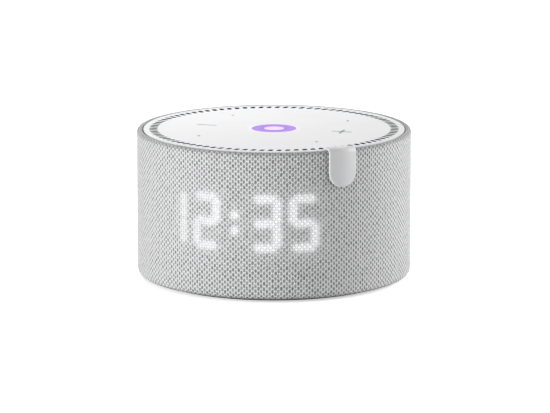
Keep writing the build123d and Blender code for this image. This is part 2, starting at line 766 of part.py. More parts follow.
# ---- Driver: basket with four windows, a spider ledge, screw ears and a terminal block ----
spider_ledge = gap_top + 2.3
spider_outer = magnet_radius + 1.0
flange_radius = basket_opening_radius + 2.3
basket_wall_radius = basket_opening_radius - 0.3
wall_foot_radius = spider_outer + 1.0
wall_foot_height = spider_ledge - 0.1
wall_top_height = baffle_bottom + 0.4
lead_share = (lead_height - wall_foot_height) / (wall_top_height - wall_foot_height)
wall_at_leads = wall_foot_radius + lead_share * (basket_wall_radius - wall_foot_radius)
terminal_face = wall_at_leads + 3.0
terminal_width = 4.2
terminal_height = 2.4
terminal_depth = 2.8
ear_radius = 3.0
with BuildPart() as driver_basket:
    with BuildSketch(Plane.XZ):
        with BuildLine():
            Polyline(
                (winding_outer + 1.5, gap_top),
                (spider_outer - 1.5, gap_top),
                (wall_foot_radius, wall_foot_height),
                (basket_wall_radius, wall_top_height),
                (basket_wall_radius, flange_bottom),
                (flange_radius, flange_bottom),
                (flange_radius, flange_top),
                (basket_wall_radius - 0.5, flange_top),
                (basket_wall_radius - 1.2, flange_bottom),
                (basket_wall_radius - 1.2, baffle_bottom + 0.8),
                (spider_outer + 0.2, spider_ledge + 1.2),
                (spider_outer + 0.2, spider_ledge),
                (spider_outer - 1.8, spider_ledge),
                (spider_outer - 3.0, gap_top + 1.2),
                (winding_outer + 1.5, gap_top + 1.2),
                close=True,
            )
        make_face()
    revolve(axis=Axis.Z)
    with BuildSketch(Plane.XY.offset(spider_ledge + 1.8)):
        for angle in (45, 135, 225, 315):
            draw_sector(basket_opening_radius + 1, spider_outer - 3, angle, 30)
    extrude(amount=baffle_bottom - spider_ledge - 2.2, mode=Mode.SUBTRACT)
    with BuildSketch(Plane.XY.offset(flange_bottom)):
        with PolarLocations(driver_screw_circle_radius, 4, start_angle=45):
            Circle(ear_radius)
        Circle(basket_opening_radius, mode=Mode.SUBTRACT)
        with PolarLocations(driver_screw_circle_radius, 4, start_angle=45):
            Circle(pilot_radius + screw_clearance, mode=Mode.SUBTRACT)
    extrude(amount=flange_top - flange_bottom)
    with BuildSketch(outward_plane(-90, terminal_face, lead_height)):
        Rectangle(terminal_width, terminal_height)
    extrude(amount=-terminal_depth)
driver_basket.part.label = "driver_basket"
export_step(driver_basket.part, "parts/driver_basket.step")

with BuildPart() as driver_gasket:
    with BuildSketch(Plane.XY.offset(baffle_top + seat_gap)):
        Circle(flange_radius - 0.2)
        Circle(basket_opening_radius + 0.1, mode=Mode.SUBTRACT)
    extrude(amount=gasket_thickness - 2 * seat_gap)
driver_gasket.part.label = "driver_gasket"
export_step(driver_gasket.part, "parts/driver_gasket.step")

with BuildPart() as driver_screws:
    with PolarLocations(driver_screw_circle_radius, 4, start_angle=45):
        with Locations((0, 0, flange_top + seat_gap)):
            add(screw(1.6, 1.0, pilot_radius, 3.2, 0.5))
driver_screws.part.label = "driver_screws"
export_step(driver_screws.part, "parts/driver_screws.step")

# ---- Driver: moving parts ----
winding_height = 4.0
coil_bottom = magnet_bottom + cone_travel + 0.5
winding_bottom = top_plate_bottom + (top_plate_thickness - winding_height) / 2
neck_height = spider_ledge + 1.2
edge_radius = flange_radius - 2 * surround_roll - 3.2
edge_height = flange_top - cone_thickness
with BuildPart() as voice_coil:
    with BuildSketch(Plane.XZ):
        with BuildLine():
            Polyline(
                (coil_radius, coil_bottom),
                (former_outer, coil_bottom),
                (former_outer, winding_bottom),
                (winding_outer, winding_bottom),
                (winding_outer, winding_bottom + winding_height),
                (former_outer, winding_bottom + winding_height),
                (former_outer, neck_height + 0.8),
                (coil_radius, neck_height + 0.8),
                close=True,
            )
        make_face()
    revolve(axis=Axis.Z)
voice_coil.part.label = "voice_coil"
export_step(voice_coil.part, "parts/voice_coil.step")

with BuildPart() as cone:
    with BuildSketch(Plane.XZ):
        with BuildLine():
            Polyline(
                (former_outer + 0.05, neck_height),
                (edge_radius - 1.1, edge_height),
                (edge_radius, edge_height),
                (edge_radius, edge_height + cone_thickness),
                (edge_radius - 1.4, edge_height + cone_thickness),
                (former_outer + 0.05, neck_height + 1.4 * cone_thickness),
                close=True,
            )
        make_face()
    revolve(axis=Axis.Z)
cone.part.label = "cone"
export_step(cone.part, "parts/cone.step")

cone_slope = (edge_height - neck_height) / (edge_radius - 1.1 - former_outer)
cap_height = neck_height + 1.6 * cone_thickness + cone_slope * (dust_cap_radius - former_outer)
with BuildPart() as dust_cap:
    with BuildSketch(Plane.XZ):
        with BuildLine():
            outer_dome = ThreePointArc(
                (0, cap_height + 2.5), (5.0, cap_height + 1.65), (dust_cap_radius, cap_height)
            )
            inner_dome = ThreePointArc(
                (0, cap_height + 2.2), (4.8, cap_height + 1.4), (dust_cap_radius - 0.5, cap_height)
            )
            Line(outer_dome @ 0, inner_dome @ 0)
            Line(outer_dome @ 1, inner_dome @ 1)
        make_face()
    revolve(axis=Axis.Z)
dust_cap.part.label = "dust_cap"
export_step(dust_cap.part, "parts/dust_cap.step")

surround_height = flange_top + seat_gap + surround_thickness / 2
with BuildPart() as surround:
    with BuildSketch(Plane.XZ):
        with BuildLine():
            Line((edge_radius - 1.1, surround_height), (edge_radius + 0.1, surround_height))
            ThreePointArc(
                (edge_radius, surround_height),
                (edge_radius + surround_roll, surround_height + surround_roll),
                (edge_radius + 2 * surround_roll, surround_height),
            )
            Line(
                (edge_radius + 2 * surround_roll - 0.1, surround_height),
                (flange_radius - 0.6, surround_height),
            )
        trace(line_width=surround_thickness)
    revolve(axis=Axis.Z)
surround.part.label = "surround"
export_step(surround.part, "parts/surround.step")

spider_thickness = 0.25
spider_rise = 0.35            # of each wave above and below the middle
spider_height = spider_ledge + seat_gap + 0.5
spider_waves = 8
spider_start = former_outer + 1.8
spider_wave = (spider_outer - 2.3 - spider_start) / (spider_waves - 1)
with BuildPart() as spider:
    with BuildSketch(Plane.XZ):
        with BuildLine():
            zigzag = [(former_outer + 0.1, spider_height), (former_outer + 1.2, spider_height)]
            for turn in range(spider_waves):
                rise = spider_rise if turn % 2 else -spider_rise
                zigzag.append((spider_start + turn * spider_wave, spider_height + rise))
            zigzag.append((spider_outer - 1.6, spider_height - spider_rise))
            zigzag.append((spider_outer, spider_height - spider_rise))
            FilletPolyline(*zigzag, radius=0.2)
        trace(line_width=spider_thickness)
    revolve(axis=Axis.Z)
spider.part.label = "spider"
export_step(spider.part, "parts/spider.step")

# ---- Speaker leads: out of the chamber and down to the main board ----
lead_drop_radius = chamber_radius + 5.0
with BuildPart() as speaker_leads:
    for side in (-1, 1):
        with BuildLine(Plane.XZ.offset(side * lead_offset)):
            FilletPolyline(
                (-terminal_face - seat_gap, lead_height),
                (-lead_drop_radius, lead_height),
                (-lead_drop_radius, board_top + seat_gap),
                radius=4,
            )
        with BuildSketch(outward_plane(-90, terminal_face + seat_gap, lead_height)):
            with Locations((-side * lead_offset, 0)):
                Circle(lead_radius)
        sweep()
speaker_leads.part.label = "speaker_leads"
export_step(speaker_leads.part, "parts/speaker_leads.step")

# ---- Display: light guide with a pocket for each bar, diffusers, board, lights and cable ----
frame_back_flange = housing_inner - 0.1
pocket_start = frame_inner - 2
pocket_reach = frame_depth + 4
with BuildPart() as display_frame:
    with BuildSketch(Plane.XY.offset(frame_bottom)):
        draw_sector(frame_outer, frame_inner, -90, frame_half_angle)
    extrude(amount=frame_top - frame_bottom)
    with BuildSketch(Plane.XY.offset(frame_bottom - frame_flange)):
        draw_sector(frame_back_flange, frame_inner, -90, flange_angle)
    extrude(amount=frame_top - frame_bottom + 2 * frame_flange)
    for plane in digit_planes(pocket_start):
        with BuildSketch(plane):
            draw_digit(0)
        extrude(amount=pocket_reach, mode=Mode.SUBTRACT)
    with BuildSketch(outward_plane(0, pocket_start, digit_middle_height)):
        with GridLocations(0, colon_height, 1, 2):
            Circle(colon_dot_radius)
    extrude(amount=pocket_reach, mode=Mode.SUBTRACT)
display_frame.part.label = "display_frame"
export_step(display_frame.part, "parts/display_frame.step")

with BuildPart() as segment_lenses:
    for plane in digit_planes(pocket_start):
        with BuildSketch(plane):
            draw_digit(lens_fit)
        extrude(amount=pocket_reach)
    with BuildSketch(outward_plane(0, pocket_start, digit_middle_height)):
        with GridLocations(0, colon_height, 1, 2):
            Circle(colon_dot_radius - lens_fit)
    extrude(amount=pocket_reach)
    with BuildSketch(Plane.XY.offset(frame_bottom)):
        Circle(frame_outer)
        Circle(frame_outer - lens_depth, mode=Mode.SUBTRACT)
    extrude(amount=frame_top - frame_bottom, mode=Mode.INTERSECT)
segment_lenses.part.label = "segment_lenses"
export_step(segment_lenses.part, "parts/segment_lenses.step")

display_board_outer = frame_inner - seat_gap
display_board_inner = display_board_outer - display_board_thickness
with BuildPart() as display_board:
    with BuildSketch(Plane.XY.offset(frame_bottom - frame_flange)):
        draw_sector(display_board_outer, display_board_inner, -90, flange_angle)
    extrude(amount=frame_top - frame_bottom + 2 * frame_flange)
display_board.part.label = "display_board"
export_step(display_board.part, "parts/display_board.step")

led_length = 1.6
led_width = 0.8
led_height = 0.6
with BuildPart() as display_leds:
    for plane in digit_planes(pocket_start):
        with BuildSketch(plane):
            with GridLocations(0, (digit_height - bar_width) / 2, 1, 3):
                Rectangle(led_length, led_width)
            with GridLocations(digit_width - bar_width, (digit_height - bar_width) / 2, 2, 2):
                Rectangle(led_width, led_length)
        extrude(amount=pocket_reach)
    with BuildSketch(outward_plane(0, pocket_start, digit_middle_height)):
        with GridLocations(0, colon_height, 1, 2):
            Rectangle(led_length, led_width)
    extrude(amount=pocket_reach)
    with BuildSketch(Plane.XY.offset(frame_bottom)):
        Circle(frame_inner + led_height)
        Circle(frame_inner, mode=Mode.SUBTRACT)
    extrude(amount=frame_top - frame_bottom, mode=Mode.INTERSECT)
display_leds.part.label = "display_leds"
export_step(display_leds.part, "parts/display_leds.step")

# ---- Main board and what stands on it ----
inlet_face = body_radius - 0.5
jack_x = -port_distance
jack_face = sqrt(body_radius**2 - (port_distance + jack_barrel_radius) ** 2) - 0.2
jack_body_front = housing_inner - 4.1
jack_end = jack_face - jack_depth - 0.6
jack_notch_start = jack_end - 0.3
jack_notch_width = jack_body_width + 0.6
cable_socket_y = -(board_radius - 3.4)
with BuildPart() as main_board:
    with BuildSketch(Plane.XY.offset(board_height)):
        Circle(board_radius)
        with PolarLocations(column_circle_radius, 4, start_angle=45):
            Circle(spigot_radius + 0.2, mode=Mode.SUBTRACT)
        with Locations((-jack_x, jack_notch_start + board_radius / 2)):
            Rectangle(jack_notch_width, board_radius, mode=Mode.SUBTRACT)
    extrude(amount=board_thickness)
main_board.part.label = "main_board"
export_step(main_board.part, "parts/main_board.step")

with BuildPart() as shield_can:
    with BuildSketch(Plane.XY.offset(board_top)):
        RectangleRounded(can_length, can_width, can_corner)
    extrude(amount=can_height)
    with BuildSketch(Plane.XY.offset(board_top)):
        RectangleRounded(
            can_length - 2 * can_wall, can_width - 2 * can_wall, can_corner - can_wall
        )
    extrude(amount=can_height - can_wall, mode=Mode.SUBTRACT)
shield_can.part.label = "shield_can"
export_step(shield_can.part, "parts/shield_can.step")

with BuildPart() as thermal_pad:
    with BuildSketch(Plane.XY.offset(board_top + can_height)):
        Rectangle(can_length - 8, can_width - 6)
    extrude(amount=pad_thickness)
thermal_pad.part.label = "thermal_pad"
export_step(thermal_pad.part, "parts/thermal_pad.step")

with BuildPart() as heat_spreader:
    with BuildSketch(Plane.XY.offset(spreader_bottom)):
        Circle(chamber_radius - 4.5)
    extrude(amount=spreader_thickness)
heat_spreader.part.label = "heat_spreader"
export_step(heat_spreader.part, "parts/heat_spreader.step")

capacitor_radius = 3.0
capacitor_height = 7.0
inductor_width = 6.6
inductor_height = 3.4
with BuildPart() as capacitors:
    with BuildSketch(Plane.XY.offset(board_top)):
        for angle in (148, 161, 199):
            with PolarLocations(chamber_radius + 5.3, 1, start_angle=angle):
                Circle(capacitor_radius)
    extrude(amount=capacitor_height)
    fillet(capacitors.edges().group_by(Axis.Z)[-1], 0.5)
capacitors.part.label = "capacitors"
export_step(capacitors.part, "parts/capacitors.step")

with BuildPart() as power_inductor:
    with BuildSketch(Plane.XY.offset(board_top)):
        with PolarLocations(chamber_radius + 5.5, 1, start_angle=10):
            RectangleRounded(inductor_width, inductor_width, 1.0)
    extrude(amount=inductor_height)
power_inductor.part.label = "power_inductor"
export_step(power_inductor.part, "parts/power_inductor.step")

connector_length = 9.0
connector_width = 2.6
connector_height = 1.2
with BuildPart() as cable_connector:
    with BuildSketch(Plane.XY.offset(board_top)):
        with Locations((0, cable_socket_y)):
            Rectangle(connector_length, connector_width)
    extrude(amount=connector_height)
cable_connector.part.label = "cable_connector"
export_step(cable_connector.part, "parts/cable_connector.step")

cable_thickness = 0.2
cable_width = 7.0
cable_y = cable_thickness - sqrt(display_board_inner**2 - (cable_width / 2) ** 2)
cable_low = board_top + connector_height + cable_thickness / 2
with BuildPart() as display_cable:
    with BuildSketch(Plane.YZ):
        with BuildLine():
            FilletPolyline(
                (cable_socket_y, cable_low + seat_gap),
                (cable_y, cable_low + seat_gap),
                (cable_y, frame_bottom + 4),
                radius=1.2,
            )
        trace(line_width=cable_thickness)
    extrude(amount=cable_width / 2, both=True)
display_cable.part.label = "display_cable"
export_step(display_cable.part, "parts/display_cable.step")

# ---- Sockets and the microphone switch, in the insert at the rear ----
panel_inner = housing_inner - 0.1
switch_x = port_distance
knob_x = switch_x + switch_travel / 2
knob_slot_width = switch_knob_width + switch_travel + 2 * running_gap
knob_slot_height = switch_knob_height + 2 * running_gap

with BuildPart() as panel_flange:
    with BuildSketch(outward_plane(180, 0, port_height)):
        SlotOverall(port_panel_length + 2 * port_flange, port_panel_height + 2 * port_flange)
    extrude(amount=body_radius)
    with BuildSketch(Plane.XY):
        Circle(panel_inner)
        Circle(panel_inner - 1.4, mode=Mode.SUBTRACT)
    extrude(amount=body_height, mode=Mode.INTERSECT)

with BuildPart() as port_panel:
    with BuildSketch(outward_plane(180, 0, port_height)):
        SlotOverall(port_panel_length, port_panel_height)
    extrude(amount=body_radius)
    with BuildSketch(Plane.XY):
        Circle(body_radius)
        Circle(panel_inner - 0.7, mode=Mode.SUBTRACT)
    extrude(amount=body_height, mode=Mode.INTERSECT)
    add(panel_flange.part)
    with BuildSketch(outward_plane(180, 0, port_height)):
        SlotOverall(inlet_width + 2 * slide_fit, inlet_height + 2 * slide_fit)
        with Locations((jack_x, 0)):
            Circle(jack_barrel_radius + slide_fit)
        with Locations((switch_x, 0)):
            RectangleRounded(knob_slot_width, knob_slot_height, 0.4)
    extrude(amount=body_radius + 1, mode=Mode.SUBTRACT)
port_panel.part.label = "port_panel"
export_step(port_panel.part, "parts/port_panel.step")

with BuildPart() as power_inlet:
    with BuildSketch(outward_plane(180, inlet_face - inlet_depth, port_height)):
        SlotOverall(inlet_width, inlet_height)
    extrude(amount=inlet_depth)
    with BuildSketch(outward_plane(180, inlet_face, port_height)):
        SlotOverall(inlet_width - 2 * inlet_wall, inlet_height - 2 * inlet_wall)
    extrude(amount=-(inlet_depth - 1.0), mode=Mode.SUBTRACT)
    with BuildSketch(outward_plane(180, inlet_face - inlet_depth + 0.8, port_height)):
        Rectangle(6.7, 0.7)
    extrude(amount=inlet_depth - 2.0)
power_inlet.part.label = "power_inlet"
export_step(power_inlet.part, "parts/power_inlet.step")

with BuildPart() as audio_jack:
    with BuildSketch(outward_plane(180, jack_end, port_height)):
        with Locations((jack_x, 0)):
            Rectangle(jack_body_width, jack_body_height)
    extrude(amount=jack_body_front - jack_end)
    with BuildSketch(outward_plane(180, jack_body_front - 0.5, port_height)):
        with Locations((jack_x, 0)):
            Circle(jack_barrel_radius)
    extrude(amount=jack_face - jack_body_front + 0.5)
    with BuildSketch(outward_plane(180, jack_face, port_height)):
        with Locations((jack_x, 0)):
            Circle(jack_bore_radius)
    extrude(amount=-jack_depth, mode=Mode.SUBTRACT)
audio_jack.part.label = "audio_jack"
export_step(audio_jack.part, "parts/audio_jack.step")

switch_front = housing_inner - 4.9
switch_back = switch_front - 3.4
switch_well = 2.6
slider_foot_width = switch_knob_width + 1.6
slider_foot_depth = 1.8
with BuildPart() as mic_switch_body:
    with BuildSketch(outward_plane(180, switch_back, port_height)):
        with Locations((switch_x, 0)):
            Rectangle(slider_foot_width + switch_travel + 2 * running_gap + 1.6, inlet_height)
    extrude(amount=switch_front - switch_back)
    with BuildSketch(outward_plane(180, switch_front, port_height)):
        with Locations((switch_x, 0)):
            Rectangle(slider_foot_width + switch_travel + 2 * running_gap, knob_slot_height)
    extrude(amount=-switch_well, mode=Mode.SUBTRACT)
mic_switch_body.part.label = "mic_switch_body"
export_step(mic_switch_body.part, "parts/mic_switch_body.step")

knob_face = sqrt(body_radius**2 - port_distance**2) + switch_proud
with BuildPart() as mic_switch_slider:
    with BuildSketch(outward_plane(180, switch_front - switch_well + running_gap, port_height)):
        with Locations((knob_x, 0)):
            Rectangle(slider_foot_width, switch_knob_height)
    extrude(amount=slider_foot_depth)
    with BuildSketch(outward_plane(180, switch_front - 1.0, port_height)):
        with Locations((knob_x, 0)):
            Rectangle(switch_knob_width, switch_knob_height)
    extrude(amount=knob_face - switch_front + 1.0)
    fillet(mic_switch_slider.edges().group_by(Axis.Y)[-1], 0.3)
mic_switch_slider.part.label = "mic_switch_slider"
export_step(mic_switch_slider.part, "parts/mic_switch_slider.step")
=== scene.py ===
"""Studio scene of the round smart speaker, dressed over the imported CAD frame.

Lengths are in metres. The front faces -Y, and Z points up.
"""

import json
import math

import bpy
import numpy as np
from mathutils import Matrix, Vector


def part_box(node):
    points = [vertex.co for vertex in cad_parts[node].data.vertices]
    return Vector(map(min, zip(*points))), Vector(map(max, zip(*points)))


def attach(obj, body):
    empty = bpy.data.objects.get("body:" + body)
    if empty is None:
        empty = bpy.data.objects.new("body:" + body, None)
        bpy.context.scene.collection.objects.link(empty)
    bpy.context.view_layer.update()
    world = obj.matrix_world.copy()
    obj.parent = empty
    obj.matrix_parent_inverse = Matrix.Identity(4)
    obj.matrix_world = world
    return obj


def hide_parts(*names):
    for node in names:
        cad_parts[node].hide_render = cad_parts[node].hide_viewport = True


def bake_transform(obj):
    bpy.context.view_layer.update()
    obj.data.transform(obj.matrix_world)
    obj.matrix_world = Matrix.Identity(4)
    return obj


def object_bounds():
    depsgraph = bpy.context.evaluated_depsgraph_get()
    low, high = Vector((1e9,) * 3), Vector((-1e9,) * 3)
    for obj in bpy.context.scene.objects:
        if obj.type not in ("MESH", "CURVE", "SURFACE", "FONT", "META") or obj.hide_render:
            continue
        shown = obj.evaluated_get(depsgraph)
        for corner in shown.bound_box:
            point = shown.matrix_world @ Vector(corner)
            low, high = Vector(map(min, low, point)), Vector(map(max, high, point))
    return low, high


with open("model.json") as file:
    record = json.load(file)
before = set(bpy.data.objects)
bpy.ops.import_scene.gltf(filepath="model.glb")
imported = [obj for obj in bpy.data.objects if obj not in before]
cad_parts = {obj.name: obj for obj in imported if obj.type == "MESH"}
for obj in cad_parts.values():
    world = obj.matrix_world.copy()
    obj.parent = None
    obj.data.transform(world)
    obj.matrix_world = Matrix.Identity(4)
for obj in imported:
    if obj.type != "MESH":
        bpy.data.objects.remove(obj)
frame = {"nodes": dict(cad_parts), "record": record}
nodes = frame["nodes"]
cad_low, cad_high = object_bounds()

mm = 0.001

# ---- Sizes read from the frame ----
sleeve_low, sleeve_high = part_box("fabric_sleeve")
cover_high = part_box("top_cover")[1]
tag_low, tag_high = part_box("hanging_tag")
cap_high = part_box("ring_center_cap")[1]
ring_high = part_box("light_ring_lens")[1]
panel_low, panel_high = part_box("port_panel")
clock_low, clock_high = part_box("segment_lenses")

body_radius = sleeve_high.x
sleeve_top = sleeve_high.z
sleeve_bottom = sleeve_low.z
cover_radius = cover_high.x
disc_face = cap_high.z

# ---- Openings in the cover ----
slot_count = 90
slot_circle = cover_radius - 3.55 * mm
slot_length, slot_width = 3.0 * mm, 1.5 * mm
slot_skew = math.radians(-18)  # turns the outer end of each slot clockwise
slot_edge_shade = 0.28 * mm  # width of the painted shade round the edge of a slot
shade_start, shade_full = 0.02 * mm, 0.06 * mm  # depths where the painted wall shade starts and is full
microphone_place = (21.57 * mm, 21.57 * mm, 0.0)  # of one of the four holes, from the axis
microphone_reach = 0.75 * mm  # takes in the hole's wall, which gets painted shade

# ---- Light ring ----
painted_glow_start = ring_high.x - 1.75 * mm  # where the painted glow of the ring's light on the cover starts
painted_glow_end = painted_glow_start + 2.6 * mm

# ---- Tag ----
tag_middle = [(tag_low[axis] + tag_high[axis]) / 2 for axis in (0, 1)]
tag_angle = math.atan2(tag_middle[0], -tag_middle[1])  # to the right of the front
tag_across = Vector((math.cos(tag_angle), math.sin(tag_angle), 0))
tag_outward = Vector((math.sin(tag_angle), -math.cos(tag_angle), 0))
tag_half = 5.375 * mm  # half the width of the strap
tag_reach = 4.7 * mm  # half the width over which slots show the strap below them
strap_shift = 1.1 * mm  # how far the middle of that width lies to the right of the strap's
tag_crown = 1.7  # rise of the strap's middle over its edges, in millimetres

# ---- Fabric ----
roll_width = body_radius - cover_radius - 0.15 * mm  # band of fabric seen round the cover
roll_round = 1.0 * mm
lower_round = 2.5 * mm
tuck_depth = 2.4 * mm  # fabric that goes down behind the roll
fold_width = 3.6 * mm  # fabric folded under the body
mesh_columns = 154  # holes round the sleeve in one row
mesh_pitch = 1.835 * mm  # from a hole to the next one above it
steps_per_hole = 4
hole_half_width, hole_half_height = 0.195, 0.35  # in shares of the pitch
weave_depth = 0.22 * mm  # from the threads' crests to the bottom of the holes
wander = 0.22  # how far the rows stray, in shares of the pitch
port_fit = 0.15 * mm  # between the fabric and the insert at the rear
port_flange = 1.3 * mm
port_snap = 0.26 * mm  # points this near the opening's edge are moved onto it
port_tuck = 0.25 * mm  # how far that edge is turned in
groove_depth = 0.4 * mm  # where the strap of the tag presses on the fabric
roll_shade, lower_shade = 0.42, 0.6  # how dark the fabric gets where it turns away

# ---- Clock ----
digit_width = 10.7 * mm
digit_height = 20.2 * mm
bar_width = 3.0 * mm
colon_gap = 5.6 * mm
digit_gap = 2.75 * mm
colon_height = 5.4 * mm
dot_radius = 1.4 * mm
bar_gap = 1.3 * mm  # from a corner of the digit to the core of a bar
first_digit_fade = 0.38  # share of light that the digit at the far left lacks
clock_shift = (-0.4 * mm, -0.25 * mm)  # of the light on the fabric, from the middle of the lenses
shown_time = "12:35"
bars_of = {"1": "bc", "2": "abged", "3": "abgcd", "5": "afgcd"}

# ---- Touch marks ----
mark_circle = 25.0 * mm
mark_length = 7.4 * mm
mark_width = 1.05 * mm
mark_height = 0.02 * mm


# ---- Node graphs ----
class Graph:
    """A material's nodes, with short calls for the ones used here."""

    def __init__(self, name):
        self.material = bpy.data.materials.new(name)
        self.material.use_nodes = True
        self.tree = self.material.node_tree
        self.shader = self.tree.nodes["Principled BSDF"]

    def add(self, kind, inputs=None, **settings):
        node = self.tree.nodes.new(kind)
        for key, value in settings.items():
            setattr(node, key, value)
        for key, value in (inputs or {}).items():
            self.put(node.inputs[key], value)
        return node

    def put(self, socket, value):
        if isinstance(value, bpy.types.NodeSocket):
            self.tree.links.new(value, socket)
        else:
            socket.default_value = value

    def set(self, **values):
        for key, value in values.items():
            self.put(self.shader.inputs[key.replace("_", " ")], value)

    def math(self, operation, *values):
        node = self.add("ShaderNodeMath", operation=operation)
        for socket, value in zip(node.inputs, values):
            self.put(socket, value)
        return node.outputs[0]

    def place(self):
        return self.add("ShaderNodeTexCoord").outputs["Object"]

    def noise(self, scale, detail=3.0, rough=0.55, vector=None):
        inputs = {"Scale": scale, "Detail": detail, "Roughness": rough}
        inputs["Vector"] = vector or self.place()
        return self.add("ShaderNodeTexNoise", inputs).outputs["Fac"]

    def span(self, value, low, high, to_low=0.0, to_high=1.0, smooth=False):
        node = self.add("ShaderNodeMapRange", clamp=True)
        node.interpolation_type = "SMOOTHSTEP" if smooth else "LINEAR"
        for socket, entry in zip(node.inputs, (value, low, high, to_low, to_high)):
            self.put(socket, entry)
        return node.outputs[0]

    def mix(self, share, first, second):
        node = self.add("ShaderNodeMix", data_type="RGBA")
        self.put(node.inputs[0], share)
        self.put(node.inputs[6], first)
        self.put(node.inputs[7], second)
        return node.outputs[2]

    def bump(self, height, distance, strength=1.0):
        inputs = {"Height": height, "Distance": distance, "Strength": strength}
        self.put(self.shader.inputs["Normal"], self.add("ShaderNodeBump", inputs).outputs[0])


def grey(level):
    return (level, level, level, 1.0)


def shade(color, factor):
    return (color[0] * factor, color[1] * factor, color[2] * factor, 1.0)


# ---- Materials ----
def moulded(name, color, roughness=0.5, grain=2600.0, depth=0.012 * mm, cloud=0.03):
    """Plastic with the fine grain of its mould and a slight variation over larger areas."""
    g = Graph(name)
    fine = g.noise(grain, 4.0)
    broad = g.noise(90.0, 2.0)
    g.set(Base_Color=g.mix(g.span(broad, 0.3, 0.7), shade(color, 1 - cloud), shade(color, 1.0)))
    g.set(Roughness=g.span(fine, 0.3, 0.7, roughness - 0.06, roughness + 0.06))
    g.bump(fine, depth)
    return g


def glossy(name, color, roughness=0.2):
    """Smooth plastic film or sleeve with a clear coat."""
    g = moulded(name, color, roughness, grain=700.0, depth=0.004 * mm)
    g.set(Coat_Weight=0.3)
    return g


def soft(name, color, roughness=0.62):
    """Silicone or rubber: fine pores, soft highlights."""
    g = moulded(name, color, roughness, grain=4200.0, depth=0.01 * mm, cloud=0.05)
    g.set(Sheen_Weight=0.15)
    return g


def metal(name, color, roughness=0.32, stretch=18.0):
    """Sheet or turned metal with a brushed direction round the axis."""
    g = Graph(name)
    scale = g.add("ShaderNodeMapping", {"Vector": g.place(), "Scale": (1.0, 1.0, stretch)})
    lines = g.noise(900.0, 5.0, vector=scale.outputs[0])
    bright = g.mix(g.span(lines, 0.3, 0.7), shade(color, 0.86), shade(color, 1))
    g.set(Metallic=1.0, Base_Color=bright)
    g.set(Roughness=g.span(lines, 0.25, 0.75, roughness - 0.08, roughness + 0.1))
    g.bump(lines, 0.004 * mm)
    return g


def board(name, color):
    """Solder mask over tracks: straight bands that turn at right angles."""
    g = Graph(name)
    cells = {"Scale": 420.0, "Vector": g.place()}
    tracks = g.add("ShaderNodeTexVoronoi", cells, distance="CHEBYCHEV", feature="F1").outputs[0]
    copper = g.span(g.math("PINGPONG", tracks, 0.16), 0.05, 0.09, smooth=True)
    g.set(Base_Color=g.mix(copper, shade(color, 0.8), shade(color, 1.7)), Roughness=0.34)
    g.set(Coat_Weight=0.4)
    g.bump(copper, 0.03 * mm)
    return g


def cloth(name, color, pitch):
    """Plain woven cloth set with resin."""
    g = Graph(name)
    parts = g.add("ShaderNodeSeparateXYZ", {"Vector": g.place()}).outputs
    warp = g.math("SINE", g.math("MULTIPLY", parts[0], 2 * math.pi / pitch))
    weft = g.math("SINE", g.math("MULTIPLY", parts[1], 2 * math.pi / pitch))
    check = g.span(g.math("MULTIPLY", warp, weft), -1.0, 1.0)
    g.set(Base_Color=g.mix(check, shade(color, 0.7), shade(color, 1.1)), Roughness=0.8)
    g.bump(check, 0.05 * mm)
    return g


def coil_wire(name, color, pitch):
    """Turns of enamelled wire, one above the other."""
    g = Graph(name)
    height = g.add("ShaderNodeSeparateXYZ", {"Vector": g.place()}).outputs[2]
    turns = g.span(g.math("SINE", g.math("MULTIPLY", height, 2 * math.pi / pitch)), -1.0, 1.0)
    g.set(Base_Color=g.mix(turns, shade(color, 0.5), shade(color, 1.0)))
    g.set(Roughness=0.3, Metallic=0.8)
    g.bump(turns, 0.06 * mm)
    return g


def lit(name, color, glow, strength, roughness=0.35, gloss=0.5, rims=None):
    """Translucent plastic over a light, a little uneven; rims are the inner and outer radius
    of a ring, which is weaker towards them."""
    g = moulded(name, color, roughness, grain=1500.0, depth=0.005 * mm)
    g.set(Specular_IOR_Level=gloss)
    patch = g.noise(160.0, 2.0)
    light = g.span(patch, 0.3, 0.7, strength * 0.94, strength)
    if rims:
        middle, half = (rims[1] + rims[0]) / 2, (rims[1] - rims[0]) / 2
        offset = g.math("ABSOLUTE", g.math("SUBTRACT", radius_of(g), middle))
        offset = g.math("DIVIDE", offset, half)
        light = g.math("MULTIPLY", light, g.span(offset, 0.5, 1.0, 1.0, 0.6, smooth=True))
    g.set(Emission_Color=glow, Emission_Strength=light)
    return g


def tag_rubber(name):
    """Silicone strap, a little crowned across its width, with fine pores."""
    g = soft(name, (0.66, 0.66, 0.67), 0.5)
    pores = g.noise(4200.0, 4.0)
    share = g.math("DIVIDE", along_axis(g, tag_across), tag_half)
    crown = g.math("MULTIPLY", g.math("POWER", share, 2.0), -tag_crown)
    g.bump(g.math("ADD", crown, g.math("MULTIPLY", pores, 0.008)), 1.0 * mm)
    return g


def along_axis(g, axis):
    """Distance along a direction, from the body's axis."""
    inputs = {0: g.place(), 1: axis}
    return g.add("ShaderNodeVectorMath", inputs, operation="DOT_PRODUCT").outputs["Value"]


def radius_of(g):
    """Distance from the body's axis."""
    flat = g.add("ShaderNodeVectorMath", {0: g.place(), 1: (1.0, 1.0, 0.0)}, operation="MULTIPLY")
    return g.add("ShaderNodeVectorMath", {0: flat.outputs[0]}, operation="LENGTH").outputs["Value"]


